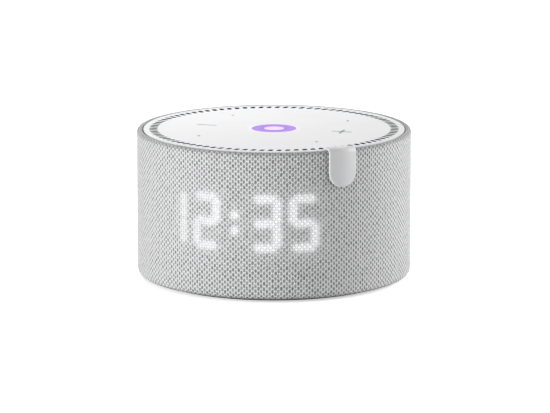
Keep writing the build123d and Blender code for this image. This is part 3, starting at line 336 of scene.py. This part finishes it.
def slot_distance(g, radius):
    """Distance from the edge of the nearest slot in the cover, negative inside it."""
    parts = g.add("ShaderNodeSeparateXYZ", {"Vector": g.place()}).outputs
    step = 2 * math.pi / slot_count
    turn = g.math("DIVIDE", g.math("ARCTAN2", parts[1], parts[0]), step)
    offset = g.math("MULTIPLY", g.math("SUBTRACT", turn, g.math("ROUND", turn)), step)
    outward = g.math("SUBTRACT", g.math("MULTIPLY", radius, g.math("COSINE", offset)), slot_circle)
    aside = g.math("MULTIPLY", radius, g.math("SINE", offset))
    cosine, sine = math.cos(slot_skew), math.sin(slot_skew)
    along = g.math("ADD", g.math("MULTIPLY", outward, cosine), g.math("MULTIPLY", aside, sine))
    across = g.math(
        "SUBTRACT", g.math("MULTIPLY", aside, cosine), g.math("MULTIPLY", outward, sine)
    )
    core = (slot_length - slot_width) / 2
    past = g.math("MAXIMUM", g.math("SUBTRACT", g.math("ABSOLUTE", along), core), 0.0)
    beside = g.math("POWER", g.math("ABSOLUTE", across), 2.0)
    square = g.math("ADD", g.math("POWER", past, 2.0), beside)
    return g.math("SUBTRACT", g.math("SQRT", square), slot_width / 2)


def cover_plastic(name):
    """Satin white with a fine grain; painted shade on the walls of the openings and round the
    slots' edges, less where slots show the strap of the tag; a painted glow round the light ring.
    """
    g = moulded(name, (0.80, 0.80, 0.81), 0.42, grain=3400.0, depth=0.006 * mm, cloud=0.015)
    white = g.shader.inputs["Base Color"].links[0].from_socket
    radius = radius_of(g)
    level = g.add("ShaderNodeSeparateXYZ", {"Vector": g.place()}).outputs[2]
    below = g.span(level, disc_face - shade_full, disc_face - shade_start, 1.0, 0.0)
    to_slot = slot_distance(g, radius)
    # Painted shade: near black on the walls of the slots and microphone holes, and darker towards
    # each slot's edge on the face, where shade falls on the real cover.
    painted_wall_shade = g.math("MULTIPLY", below, g.span(to_slot, 0.05 * mm, 0.15 * mm, 1.0, 0.0))
    painted_edge_shade = g.span(to_slot, 0.0, slot_edge_shade, 0.85, 0.0, smooth=True)
    painted_opening_shade = g.math("MAXIMUM", painted_wall_shade, painted_edge_shade)
    aside = g.math("ABSOLUTE", g.math("SUBTRACT", along_axis(g, tag_across), strap_shift))
    ahead = g.math("GREATER_THAN", along_axis(g, tag_outward), 0.0)
    near = g.math("MINIMUM", g.math("LESS_THAN", aside, tag_reach), ahead)
    painted_opening_shade = g.math("MULTIPLY", painted_opening_shade, g.math("SUBTRACT", 1.0, g.math("MULTIPLY", near, 0.85)))
    folded = g.add("ShaderNodeVectorMath", {0: g.place()}, operation="ABSOLUTE").outputs[0]
    inputs = {0: folded, 1: (1.0, 1.0, 0.0)}
    flat = g.add("ShaderNodeVectorMath", inputs, operation="MULTIPLY").outputs[0]
    inputs = {0: flat, 1: microphone_place}
    to_hole = g.add("ShaderNodeVectorMath", inputs, operation="DISTANCE").outputs["Value"]
    holes = g.math("LESS_THAN", to_hole, microphone_reach)
    painted_opening_shade = g.math("MAXIMUM", painted_opening_shade, g.math("MULTIPLY", below, holes))
    # The near black of the painted shade.
    g.set(Base_Color=g.mix(painted_opening_shade, white, (0.025, 0.025, 0.027, 1)))
    # Painted glow: the cover emits a faint purple round the light ring, in place of the ring's
    # light spreading through the plastic.
    painted_ring_glow = g.span(radius, painted_glow_start, painted_glow_end, 1.0, 0.0, smooth=True)
    g.set(Emission_Color=(0.62, 0.42, 0.95, 1.0))
    g.set(Emission_Strength=g.math("MULTIPLY", painted_ring_glow, 0.10))
    return g


def knit(name):
    """Warp knit: staggered rows of oval holes between threads, lit from behind by the clock.

    The mesh carries four attributes: lit and halo for the clock's light, turned where the fabric
    goes round the roll, and shaded where it turns away from the light.
    """
    g = Graph(name)
    uv = g.add("ShaderNodeUVMap", uv_map="weave").outputs[0]
    inputs = {"Vector": uv, "Scale": 0.55, "Detail": 2.0}
    stray = g.add("ShaderNodeTexNoise", inputs).outputs["Color"]
    shift = g.add("ShaderNodeVectorMath", {0: stray, 1: (0.5, 0.5, 0.5)}, operation="SUBTRACT")
    shift = g.add("ShaderNodeVectorMath", {0: shift.outputs[0]}, operation="SCALE")
    g.put(shift.inputs["Scale"], wander)
    moved = g.add("ShaderNodeVectorMath", {0: uv, 1: shift.outputs[0]}, operation="ADD").outputs[0]
    u, v = g.add("ShaderNodeSeparateXYZ", {"Vector": moved}).outputs[:2]
    far, spots = [], []
    for offset in (0.0, 0.5):
        across = g.math("POWER", g.math("PINGPONG", g.math("ADD", u, offset), 0.5), 2.0)
        along = g.math("POWER", g.math("PINGPONG", g.math("ADD", v, offset), 0.5), 2.0)
        wide = g.math("DIVIDE", across, hole_half_width ** 2)
        high = g.math("DIVIDE", along, hole_half_height ** 2)
        far.append(g.math("SQRT", g.math("ADD", wide, high)))
        spots.append(g.math("SQRT", g.math("ADD", across, along)))
    distance = g.math("MINIMUM", *far)  # 1 on the edge of a hole
    uneven = g.add("ShaderNodeTexNoise", {"Vector": uv, "Scale": 1.3, "Detail": 1.0}).outputs["Fac"]
    rim = g.span(uneven, 0.3, 0.7, 0.85, 1.3)
    hole = g.span(distance, g.math("MULTIPLY", rim, 0.6), rim, 1.0, 0.0, smooth=True)
    fibre = g.add("ShaderNodeMapping", {"Vector": moved, "Scale": (9.0, 3.0, 1.0)}).outputs[0]
    inputs = {"Vector": fibre, "Scale": 2.2, "Detail": 3.0}
    strands = g.add("ShaderNodeTexNoise", inputs).outputs["Fac"]
    # Painted highlight and shade: threads are lighter along their crests and darker where they dip
    # towards the holes.
    crest = g.span(distance, 0.9, 1.45, 0.0, 1.0, smooth=True)
    thread = g.mix(crest, (0.45, 0.452, 0.456, 1), (0.78, 0.782, 0.786, 1))
    thread = g.mix(g.span(strands, 0.3, 0.7, 0.4, 0.0), thread, (0.42, 0.422, 0.426, 1))
    turned = g.add("ShaderNodeAttribute", attribute_name="turned").outputs["Fac"]
    shaded = g.add("ShaderNodeAttribute", attribute_name="shaded").outputs["Fac"]
    hole = g.math("MULTIPLY", hole, g.span(turned, 0.0, 1.0, 1.0, 0.3))
    depth = g.span(uneven, 0.35, 0.65, 0.0, 1.0)
    shadow = g.mix(depth, (0.36, 0.36, 0.365, 1), (0.18, 0.18, 0.185, 1))
    color = g.mix(hole, thread, shadow)
    color = g.mix(shaded, color, (0.12, 0.12, 0.125, 1))
    g.set(Base_Color=color, Roughness=0.85, Sheen_Weight=0.2)
    relief = g.math("ADD", g.math("MULTIPLY", strands, 0.25), g.math("SUBTRACT", crest, hole))
    g.bump(relief, 0.12 * mm)
    core = g.add("ShaderNodeAttribute", attribute_name="lit").outputs["Fac"]
    halo = g.add("ShaderNodeAttribute", attribute_name="halo").outputs["Fac"]
    spot = g.span(g.math("MINIMUM", *spots), 0.06, 0.42, 1.0, 0.0, smooth=True)
    through = g.math("MULTIPLY", core, g.span(spot, 0.0, 1.0, 0.11, 0.55))
    beyond = g.math("MULTIPLY", halo, g.span(hole, 0.0, 1.0, 0.06, 0.20))
    g.set(Emission_Color=(0.97, 0.985, 1.0, 1), Emission_Strength=g.math("ADD", through, beyond))
    return g


finishes = {
    "knit_fabric": knit("knit_fabric"),
    "cover_white": cover_plastic("cover_white"),
    "tag_silicone": tag_rubber("tag_silicone"),
    "shell_grey": moulded("shell_grey", (0.36, 0.37, 0.38), 0.5),
    "base_grey": moulded("base_grey", (0.50, 0.50, 0.51), 0.55, depth=0.03 * mm),
    "foot_rubber": soft("foot_rubber", (0.035, 0.035, 0.038), 0.7),
    "lens_purple": lit(
        "lens_purple",
        (0.28, 0.13, 0.46),
        (0.33, 0.13, 0.90, 1),
        0.34,
        gloss=0.15,
        rims=(cap_high.x, ring_high.x),
    ),
    "cap_white": lit("cap_white", (0.62, 0.46, 0.80), (0.85, 0.68, 0.92, 1), 0.32, gloss=0.15),
    "diffuser_white": lit("diffuser_white", (0.85, 0.87, 0.9), (0.93, 0.96, 1.0, 1), 1.5),
    "led_white": lit("led_white", (0.85, 0.80, 0.55), (1.0, 0.97, 0.88, 1), 2.0, 0.25),
    "reflector_white": moulded("reflector_white", (0.80, 0.80, 0.80), 0.45),
    "dark_plastic": moulded("dark_plastic", (0.018, 0.018, 0.02), 0.5, depth=0.02 * mm),
    "board_green": board("board_green", (0.010, 0.060, 0.028)),
    "steel": metal("steel", (0.46, 0.46, 0.48)),
    "nickel": metal("nickel", (0.60, 0.59, 0.57), 0.2, 6.0),
    "magnet_grey": moulded("magnet_grey", (0.05, 0.05, 0.055), 0.6, grain=5200.0, depth=0.03 * mm),
    "aluminium": metal("aluminium", (0.66, 0.67, 0.68), 0.36, 1.0),
    "cone_paper": moulded("cone_paper", (0.02, 0.02, 0.022), 0.75, grain=1500.0, depth=0.05 * mm),
    "rubber_black": soft("rubber_black", (0.012, 0.012, 0.012), 0.55),
    "spider_cloth": cloth("spider_cloth", (0.45, 0.25, 0.07), 0.5 * mm),
    "copper": coil_wire("copper", (0.55, 0.22, 0.10), 0.2 * mm),
    "foam_grey": moulded("foam_grey", (0.06, 0.06, 0.06), 0.95, grain=2000.0, depth=0.12 * mm),
    "cable_amber": glossy("cable_amber", (0.50, 0.22, 0.03), 0.25),
    "capacitor_black": glossy("capacitor_black", (0.02, 0.02, 0.03), 0.3),
    "ferrite_grey": moulded(
        "ferrite_grey", (0.07, 0.07, 0.075), 0.5, grain=3000.0, depth=0.02 * mm
    ),
    "panel_white": moulded("panel_white", (0.60, 0.60, 0.61), 0.48, depth=0.02 * mm),
    "knob_white": moulded("knob_white", (0.70, 0.70, 0.71), 0.4),
    # The touch marks' grey is painted shade, in place of engraved grooves.
    "mark_grey": moulded("mark_grey", (0.28, 0.28, 0.30), 0.5, grain=3400.0, depth=0.004 * mm),
}

# ---- Carried CAD nodes ----
for part in frame["record"]["subparts"]:
    node = nodes[part["node"]]
    node.data.materials.clear()
    node.data.materials.append(finishes[part["material_slot"]].material)


# ---- Meshes ----
def make_piece(name, points, faces, finish, smooth=True):
    """A mesh object with its finish."""
    mesh = bpy.data.meshes.new(name)
    mesh.from_pydata([tuple(point) for point in points], [], [tuple(face) for face in faces])
    mesh.materials.append(finish.material)
    mesh.polygons.foreach_set("use_smooth", [smooth] * len(mesh.polygons))
    mesh.update()
    piece = bpy.data.objects.new(name, mesh)
    bpy.context.scene.collection.objects.link(piece)
    return piece


# ---- Fabric sleeve ----
def sleeve_path():
    """The section of the sleeve as lines and arcs: (length, place at a distance along it)."""

    def line(start, end):
        start, end = np.array(start), np.array(end)
        return np.linalg.norm(end - start), lambda t: start + (end - start) * t

    def arc(center, radius, first, last):
        first, last = math.radians(first), math.radians(last)

        def at(t):
            angle = first + (last - first) * t
            return np.array(center) + radius * np.array([math.cos(angle), math.sin(angle)])

        return radius * abs(last - first), at

    under = sleeve_bottom + lower_round
    upper = sleeve_top - roll_round
    outer_turn = body_radius - roll_round
    inner_turn = body_radius - roll_width + roll_round
    inner_wall = body_radius - roll_width
    corner = body_radius - lower_round
    return [
        line((body_radius - fold_width, sleeve_bottom), (corner, sleeve_bottom)),
        arc((corner, under), lower_round, -90, 0),
        line((body_radius, under), (body_radius, upper)),
        arc((outer_turn, upper), roll_round, 0, 90),
        line((outer_turn, sleeve_top), (inner_turn, sleeve_top)),
        arc((inner_turn, upper), roll_round, 90, 180),
        line((inner_wall, upper), (inner_wall, sleeve_top - tuck_depth)),
    ]


def along_path(path, distance):
    """Radius and height at a distance along the section."""
    for length, at in path:
        if distance <= length:
            return at(distance / length)
        distance -= length
    return path[-1][1](1.0)


def bar_distance(x, y, start, end):
    """Distance from x, y to the core of a bar that runs from start to end."""
    (ax, ay), (bx, by) = start, end
    dx, dy = bx - ax, by - ay
    share = np.clip(((x - ax) * dx + (y - ay) * dy) / (dx * dx + dy * dy), 0, 1)
    return np.hypot(x - ax - share * dx, y - ay - share * dy)


def clock_distance(x, y):
    """Distance from the edge of the nearest lit bar or dot, negative inside it.

    x is along the fabric and y up, both from the middle of the clock.
    """
    reach_x, reach_y = (digit_width - bar_width) / 2, (digit_height - bar_width) / 2
    end_x, end_y = reach_x - bar_gap, reach_y - bar_gap
    bars = {
        "a": ((-end_x, reach_y), (end_x, reach_y)),
        "b": ((reach_x, bar_gap), (reach_x, end_y)),
        "c": ((reach_x, -end_y), (reach_x, -bar_gap)),
        "d": ((-end_x, -reach_y), (end_x, -reach_y)),
        "e": ((-reach_x, -end_y), (-reach_x, -bar_gap)),
        "f": ((-reach_x, bar_gap), (-reach_x, end_y)),
        "g": ((-end_x, 0), (end_x, 0)),
    }
    near = colon_gap + digit_width / 2
    middles = (-near - digit_width - digit_gap, -near, near, near + digit_width + digit_gap)
    nearest = np.full(x.shape, 1.0)
    for middle, digit in zip(middles, shown_time.replace(":", "")):
        for bar in bars_of[digit]:
            nearest = np.minimum(nearest, bar_distance(x - middle, y, *bars[bar]) - bar_width / 2)
    for side in (-1, 1):
        nearest = np.minimum(nearest, np.hypot(x, y - side * colon_height / 2) - dot_radius)
    return nearest


def smooth_step(value, low, high):
    """From 0 at low to 1 at high, level at both ends."""
    share = np.clip((value - low) / (high - low), 0, 1)
    return share * share * (3 - 2 * share)


def port_distance(x, z):
    """Distance from the edge of the opening at the rear, negative inside it."""
    half_length = (panel_high.x - panel_low.x) / 2 - port_flange + port_fit
    half_height = (panel_high.z - panel_low.z) / 2 - port_flange + port_fit
    middle = (panel_high.z + panel_low.z) / 2
    core = half_length - half_height
    return np.hypot(np.maximum(np.abs(x) - core, 0), z - middle) - half_height


def strap_distance(x, z):
    """Distance from the edge of the tag's strap, negative under it; x is along the fabric."""
    return np.hypot(x, np.minimum(z - tag_low.z - tag_half, 0)) - tag_half


def open_port(points, quads):
    """Cuts the opening for the insert at the rear, and turns its edge in."""
    gap = port_distance(points[:, 0], points[:, 2])
    gap[points[:, 1] < 0] = 1.0
    inside = gap < -0.2 * mm
    quads = quads[~inside[quads].all(axis=1)]
    edge = np.abs(gap) < port_snap
    edge |= inside & np.isin(np.arange(len(points)), quads)
    for _ in range(3):
        near = gap[edge]
        nudge = 0.01 * mm
        slope_x = (port_distance(points[edge, 0] + nudge, points[edge, 2]) - near) / nudge
        slope_z = (port_distance(points[edge, 0], points[edge, 2] + nudge) - near) / nudge
        points[edge, 0] -= near * slope_x
        points[edge, 2] -= near * slope_z
        flat = np.hypot(points[edge, 0], points[edge, 1])
        points[edge, :2] *= ((body_radius - port_tuck) / flat)[:, None]
        gap[edge] = port_distance(points[edge, 0], points[edge, 2])
    return quads


def clock_light(arc, height, behind):
    """The light of the bars themselves and of the glow round them."""
    middle = (clock_low.z + clock_high.z) / 2
    away = clock_distance(arc - clock_shift[0], height - middle - clock_shift[1])
    away[behind] = 1.0
    fainter = 1 - first_digit_fade * smooth_step(-arc, 3 * mm, 20 * mm)
    core = (1 - smooth_step(away, -1.0 * mm, 0.9 * mm)) * fainter
    return core, np.exp(-np.maximum(away, 0) / (1.8 * mm)) * fainter


def lay_weave(mesh, u, v):
    """UV map that counts the holes: u round the sleeve, v along its section."""
    corners = np.zeros(len(mesh.loops), np.int32)
    mesh.loops.foreach_get("vertex_index", corners)
    across = u.ravel()[corners].reshape(-1, 4).astype(float)
    seam = across.max(axis=1) - across.min(axis=1) > mesh_columns / 2
    across[seam] += np.where(across[seam] < mesh_columns / 2, mesh_columns, 0)
    coordinates = np.column_stack([across.ravel(), v.ravel()[corners]])
    layer = mesh.uv_layers.new(name="weave")
    layer.data.foreach_set("uv", coordinates.ravel().astype(np.float32))


def make_fabric():
    """The sleeve: the section is turned round the body, with the knit's relief pressed into it."""
    path = sleeve_path()
    total = sum(length for length, _ in path)
    below, bend, side, roll = (length for length, _ in path[:4])
    lead = below + bend  # where the straight side starts
    crest = lead + side + roll  # top of the roll
    columns = mesh_columns * steps_per_hole
    step = mesh_pitch / steps_per_hole
    rows = int(total / step) + 1
    distance = np.linspace(0, total, rows)
    section = np.array([along_path(path, d) for d in distance])
    tangent = np.gradient(section, axis=0)
    tangent /= np.linalg.norm(tangent, axis=1)[:, None]
    normal = np.column_stack([tangent[:, 1], -tangent[:, 0]])
    turn = np.arange(columns) * 2 * math.pi / columns
    u = np.broadcast_to(np.arange(columns) / steps_per_hole, (rows, columns))
    v = np.broadcast_to(((distance - lead) / mesh_pitch)[:, None], (rows, columns))
    turned = smooth_step(distance, crest - 0.7 * roll, crest)[:, None]
    shaded = roll_shade * smooth_step(distance, crest - 1.4 * roll, crest - 0.5 * roll)
    shaded += lower_shade * (1 - smooth_step(distance, below + 0.4 * bend, below + 0.65 * bend))
    wave = np.cos(2 * math.pi * u) * np.cos(2 * math.pi * v)
    pressed = strap_distance((turn - tag_angle)[None, :] * body_radius, section[:, 1:])
    pressed = (1 - smooth_step(np.abs(pressed), 0.2 * mm, 1.0 * mm)) * (1 - turned)
    inward = (wave + 1) / 2 * weave_depth * (1 - turned) + pressed * groove_depth
    radius = section[:, :1] - normal[:, :1] * inward
    height = section[:, 1:] - normal[:, 1:] * inward
    height = np.broadcast_to(height, (rows, columns))
    x, y = radius * np.sin(turn), -radius * np.cos(turn)
    points = np.stack([x, y, height], axis=-1).reshape(-1, 3)

    index = np.arange(rows * columns).reshape(rows, columns)
    right = np.roll(index, -1, axis=1)
    quads = np.stack([index[:-1], right[:-1], right[1:], index[1:]], axis=-1).reshape(-1, 4)

    quads = open_port(points, quads)
    fabric = make_piece("knit_sleeve", points, quads, finishes["knit_fabric"])

    arc = (turn + math.pi) % (2 * math.pi) - math.pi
    arc = np.broadcast_to(arc * body_radius, (rows, columns)).ravel()
    core, halo = clock_light(arc, height.ravel(), points[:, 1] > 0)
    values = {
        "lit": core,
        "halo": halo,
        "turned": np.broadcast_to(turned, (rows, columns)).ravel(),
        "shaded": np.broadcast_to(shaded[:, None], (rows, columns)).ravel(),
    }
    for name, value in values.items():
        attribute = fabric.data.attributes.new(name, "FLOAT", "POINT")
        attribute.data.foreach_set("value", value.astype(np.float32))
    lay_weave(fabric.data, u, v)
    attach(fabric, "speaker_body")
    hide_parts("fabric_sleeve")


make_fabric()


# ---- Soft parts of the driver: rings in sectors between the basket and the cone ----
soft_sectors = 12
sector_steps = 5
cone_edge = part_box("cone")[1].x
surround_low, surround_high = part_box("surround")
surround_wall = 0.4 * mm
surround_lap = 1.1 * mm  # glued on the cone's edge
surround_flange = 1.2 * mm  # flat on the basket, at the outer edge
spider_low, spider_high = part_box("spider")
spider_wall = 0.25 * mm
spider_inner = 6.7 * mm
spider_collar = 1.1 * mm  # flat at the coil
spider_first = 8.4 * mm  # radius of the first wave
spider_last = spider_high.x - 2.3 * mm  # radius of the last wave
spider_waves = 8


def surround_line():
    """Centre line of the surround: flat on the cone, a half roll, flat on the basket."""
    level = surround_low.z + surround_wall / 2
    roll = surround_high.z - surround_low.z - surround_wall
    angles = np.linspace(math.pi, 0, 15)
    arch = [(cone_edge + roll + roll * math.cos(a), level + roll * math.sin(a)) for a in angles]
    line = [(cone_edge - surround_lap, level), (cone_edge - surround_lap / 2, level)]
    return line + arch + [(surround_high.x - surround_flange, level), (surround_high.x, level)]


def spider_line():
    """Centre line of the spider: flat at the coil, waves, flat on its ledge."""
    level = (spider_low.z + spider_high.z) / 2
    rise = (spider_high.z - spider_low.z - spider_wall) / 2
    corners = [(spider_inner, level), (spider_inner + spider_collar, level)]
    for wave, radius in enumerate(np.linspace(spider_first, spider_last, spider_waves)):
        corners.append((radius, level + (rise if wave % 2 else -rise)))
    corners += [(spider_last + 0.7 * mm, level - rise), (spider_high.x, level - rise)]
    line = []
    for (from_radius, from_level), (to_radius, to_level) in zip(corners, corners[1:]):
        for share in (0.0, 0.25, 0.5, 0.75):
            radius = from_radius + (to_radius - from_radius) * share
            climb = smooth_step(share, 0, 1)
            line.append((radius, from_level + (to_level - from_level) * climb))
    return line + [corners[-1]]


def make_soft_ring(node, slot_name, line, wall):
    """A ring in sectors, each its section swept over its own share of the circle, from the basket
    to the cone.
    """
    line = np.array(line)
    slope = np.gradient(line, axis=0)
    slope /= np.linalg.norm(slope, axis=1)[:, None]
    side = np.column_stack([-slope[:, 1], slope[:, 0]]) * wall / 2
    loop = np.concatenate([line + side, (line - side)[::-1]])
    count, half = len(loop), math.pi / soft_sectors
    for sector in range(soft_sectors):
        middle = 2 * half * sector
        turns = middle + np.linspace(-half, half, sector_steps + 1)
        rings = (*turns, turns[0], turns[-1])  # the last two close the ends
        points = [(r * math.cos(a), r * math.sin(a), z) for a in rings for r, z in loop]
        ends = (sector_steps + 1) * count
        faces = [
            tuple(ends + i for i in reversed(range(count))),
            tuple(ends + count + i for i in range(count)),
        ]
        for step in range(sector_steps):
            for i in range(count):
                a, b = step * count + i, step * count + (i + 1) % count
                faces.append((a, b, b + count, a + count))
        name = f"{node}_{sector + 1}"
        piece = make_piece(name, points, faces, finishes[slot_name])
        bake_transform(piece)
        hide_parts(node)


make_soft_ring(
    "surround",
    "rubber_black",
    surround_line(),
    surround_wall,
)
make_soft_ring(
    "spider",
    "spider_cloth",
    spider_line(),
    spider_wall,
)


# ---- Touch marks: thin grey bars laid into the cover; their grey is painted shade in place of engraved grooves ----
def make_mark(name, place, turns):
    """Bars with round ends on the cover's face, one for each turn."""
    points, faces = [], []
    half, radius = (mark_length - mark_width) / 2, mark_width / 2
    for turn in turns:
        outline = []
        for end, middle in enumerate((half, -half)):
            for step in range(9):
                angle = math.pi * (end - 0.5) + math.pi * step / 8
                outline.append((middle + math.cos(angle) * radius, math.sin(angle) * radius))
        start = len(points)
        count = len(outline)
        for level, shrink in ((-0.1 * mm, 1.0), (mark_height * 0.4, 1.0), (mark_height, 0.86)):
            for x, y in outline:
                x, y = x * (1 - (1 - shrink) * radius / half), y * shrink
                turned_x = x * math.cos(turn) - y * math.sin(turn)
                turned_y = x * math.sin(turn) + y * math.cos(turn)
                points.append((place[0] + turned_x, place[1] + turned_y, disc_face + level))
        for ring in range(2):
            low = start + ring * count
            for step in range(count):
                here, following = low + step, low + (step + 1) % count
                faces.append((here, following, following + count, here + count))
        faces.append(tuple(start + 2 * count + step for step in range(count)))
        faces.append(tuple(start + step for step in reversed(range(count))))
    mark = make_piece(name, points, faces, finishes["mark_grey"], smooth=False)
    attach(mark, "speaker_body")


make_mark("touch_mark_plus", (mark_circle, 0), (0, math.pi / 2))
make_mark("touch_mark_minus", (-mark_circle, 0), (0,))


# ---- Studio ----
def make_floor():
    """Pale floor with the object's shadow; a glow that only the camera sees makes it white."""
    floor_size = 6.0
    glow = 0.55
    g = moulded("studio_floor", (0.93, 0.93, 0.93), 0.8, grain=400.0, depth=0.02 * mm, cloud=0.01)
    seen = g.add("ShaderNodeLightPath").outputs["Is Camera Ray"]
    g.set(Emission_Color=grey(1.0), Emission_Strength=g.math("MULTIPLY", seen, glow))
    corners = [(-1, -1), (1, -1), (1, 1), (-1, 1)]
    points = [(x * floor_size, y * floor_size, cad_low.z) for x, y in corners]
    mesh = bpy.data.meshes.new("studio_floor")
    mesh.from_pydata(points, [], [(0, 1, 2, 3)])
    mesh.materials.append(g.material)
    floor = bpy.data.objects.new("studio_floor", mesh)
    bpy.context.scene.collection.objects.link(floor)


def make_world(level):
    """White for what the camera and reflections see, a lower level for the light on the object."""
    world = bpy.data.worlds.new("studio")
    bpy.context.scene.world = world
    world.use_nodes = True
    tree = world.node_tree
    tree.nodes.clear()
    path = tree.nodes.new("ShaderNodeLightPath")
    seen = None
    for ray in ("Is Camera Ray", "Is Glossy Ray", "Is Transmission Ray"):
        if seen is None:
            seen = path.outputs[ray]
            continue
        either = tree.nodes.new("ShaderNodeMath")
        either.operation = "MAXIMUM"
        tree.links.new(seen, either.inputs[0])
        tree.links.new(path.outputs[ray], either.inputs[1])
        seen = either.outputs[0]
    white, ambient = (tree.nodes.new("ShaderNodeBackground") for _ in range(2))
    white.inputs["Strength"].default_value = 1.0
    white.inputs["Color"].default_value = grey(1.0)
    ambient.inputs["Strength"].default_value = level
    ambient.inputs["Color"].default_value = grey(1.0)
    blend = tree.nodes.new("ShaderNodeMixShader")
    tree.links.new(seen, blend.inputs[0])
    tree.links.new(ambient.outputs[0], blend.inputs[1])
    tree.links.new(white.outputs[0], blend.inputs[2])
    output = tree.nodes.new("ShaderNodeOutputWorld")
    tree.links.new(blend.outputs[0], output.inputs[0])


def make_lamp(name, place, target, width, height, power, spread=180):
    """Softbox aimed at the target; spread is its cone of light, in degrees."""
    lamp = bpy.data.lights.new(name, "AREA")
    lamp.shape = "RECTANGLE"
    lamp.size, lamp.size_y = width, height
    lamp.energy = power
    lamp.spread = math.radians(spread)
    holder = bpy.data.objects.new(name, lamp)
    holder.location = place
    holder.rotation_euler = (Vector(target) - Vector(place)).to_track_quat("-Z", "Y").to_euler()
    bpy.context.scene.collection.objects.link(holder)


body_middle = Vector((0, 0, (sleeve_top + sleeve_bottom) / 2))


def around(azimuth, elevation, distance):
    """A place round the object; azimuth 0 is in front and positive to the right, in degrees."""
    a, e = math.radians(azimuth), math.radians(elevation)
    direction = Vector((math.sin(a) * math.cos(e), -math.cos(a) * math.cos(e), math.sin(e)))
    return body_middle + direction * distance


make_floor()
make_world(level=0.36)
past_rim = around(-135, 12, 0.123)  # the softbox at the back lights the rear of the top most
make_lamp("softbox_back", around(-146, 45, 0.4), past_rim, 0.2, 0.2, power=0.11, spread=60)
make_lamp("softbox_left", around(-40, 10, 0.9), body_middle, 0.6, 0.6, power=8.2)
make_lamp("softbox_right", around(125, 10, 0.9), body_middle, 0.5, 0.6, power=10.5)

# ---- Camera ----
camera_azimuth = 15.65
camera_elevation = 11.27
camera_distance = 1.5
camera_data = bpy.data.cameras.new("camera")
camera_data.lens = 274.3
camera_data.sensor_width = 36.0
camera_data.shift_x = 0.0018
camera_data.shift_y = -0.0120
camera = bpy.data.objects.new("camera", camera_data)
camera.location = around(camera_azimuth, camera_elevation, camera_distance)
camera.rotation_euler = (body_middle - camera.location).to_track_quat("-Z", "Y").to_euler()
bpy.context.scene.collection.objects.link(camera)
bpy.context.scene.camera = camera
bpy.context.scene.view_settings.view_transform = "Standard"
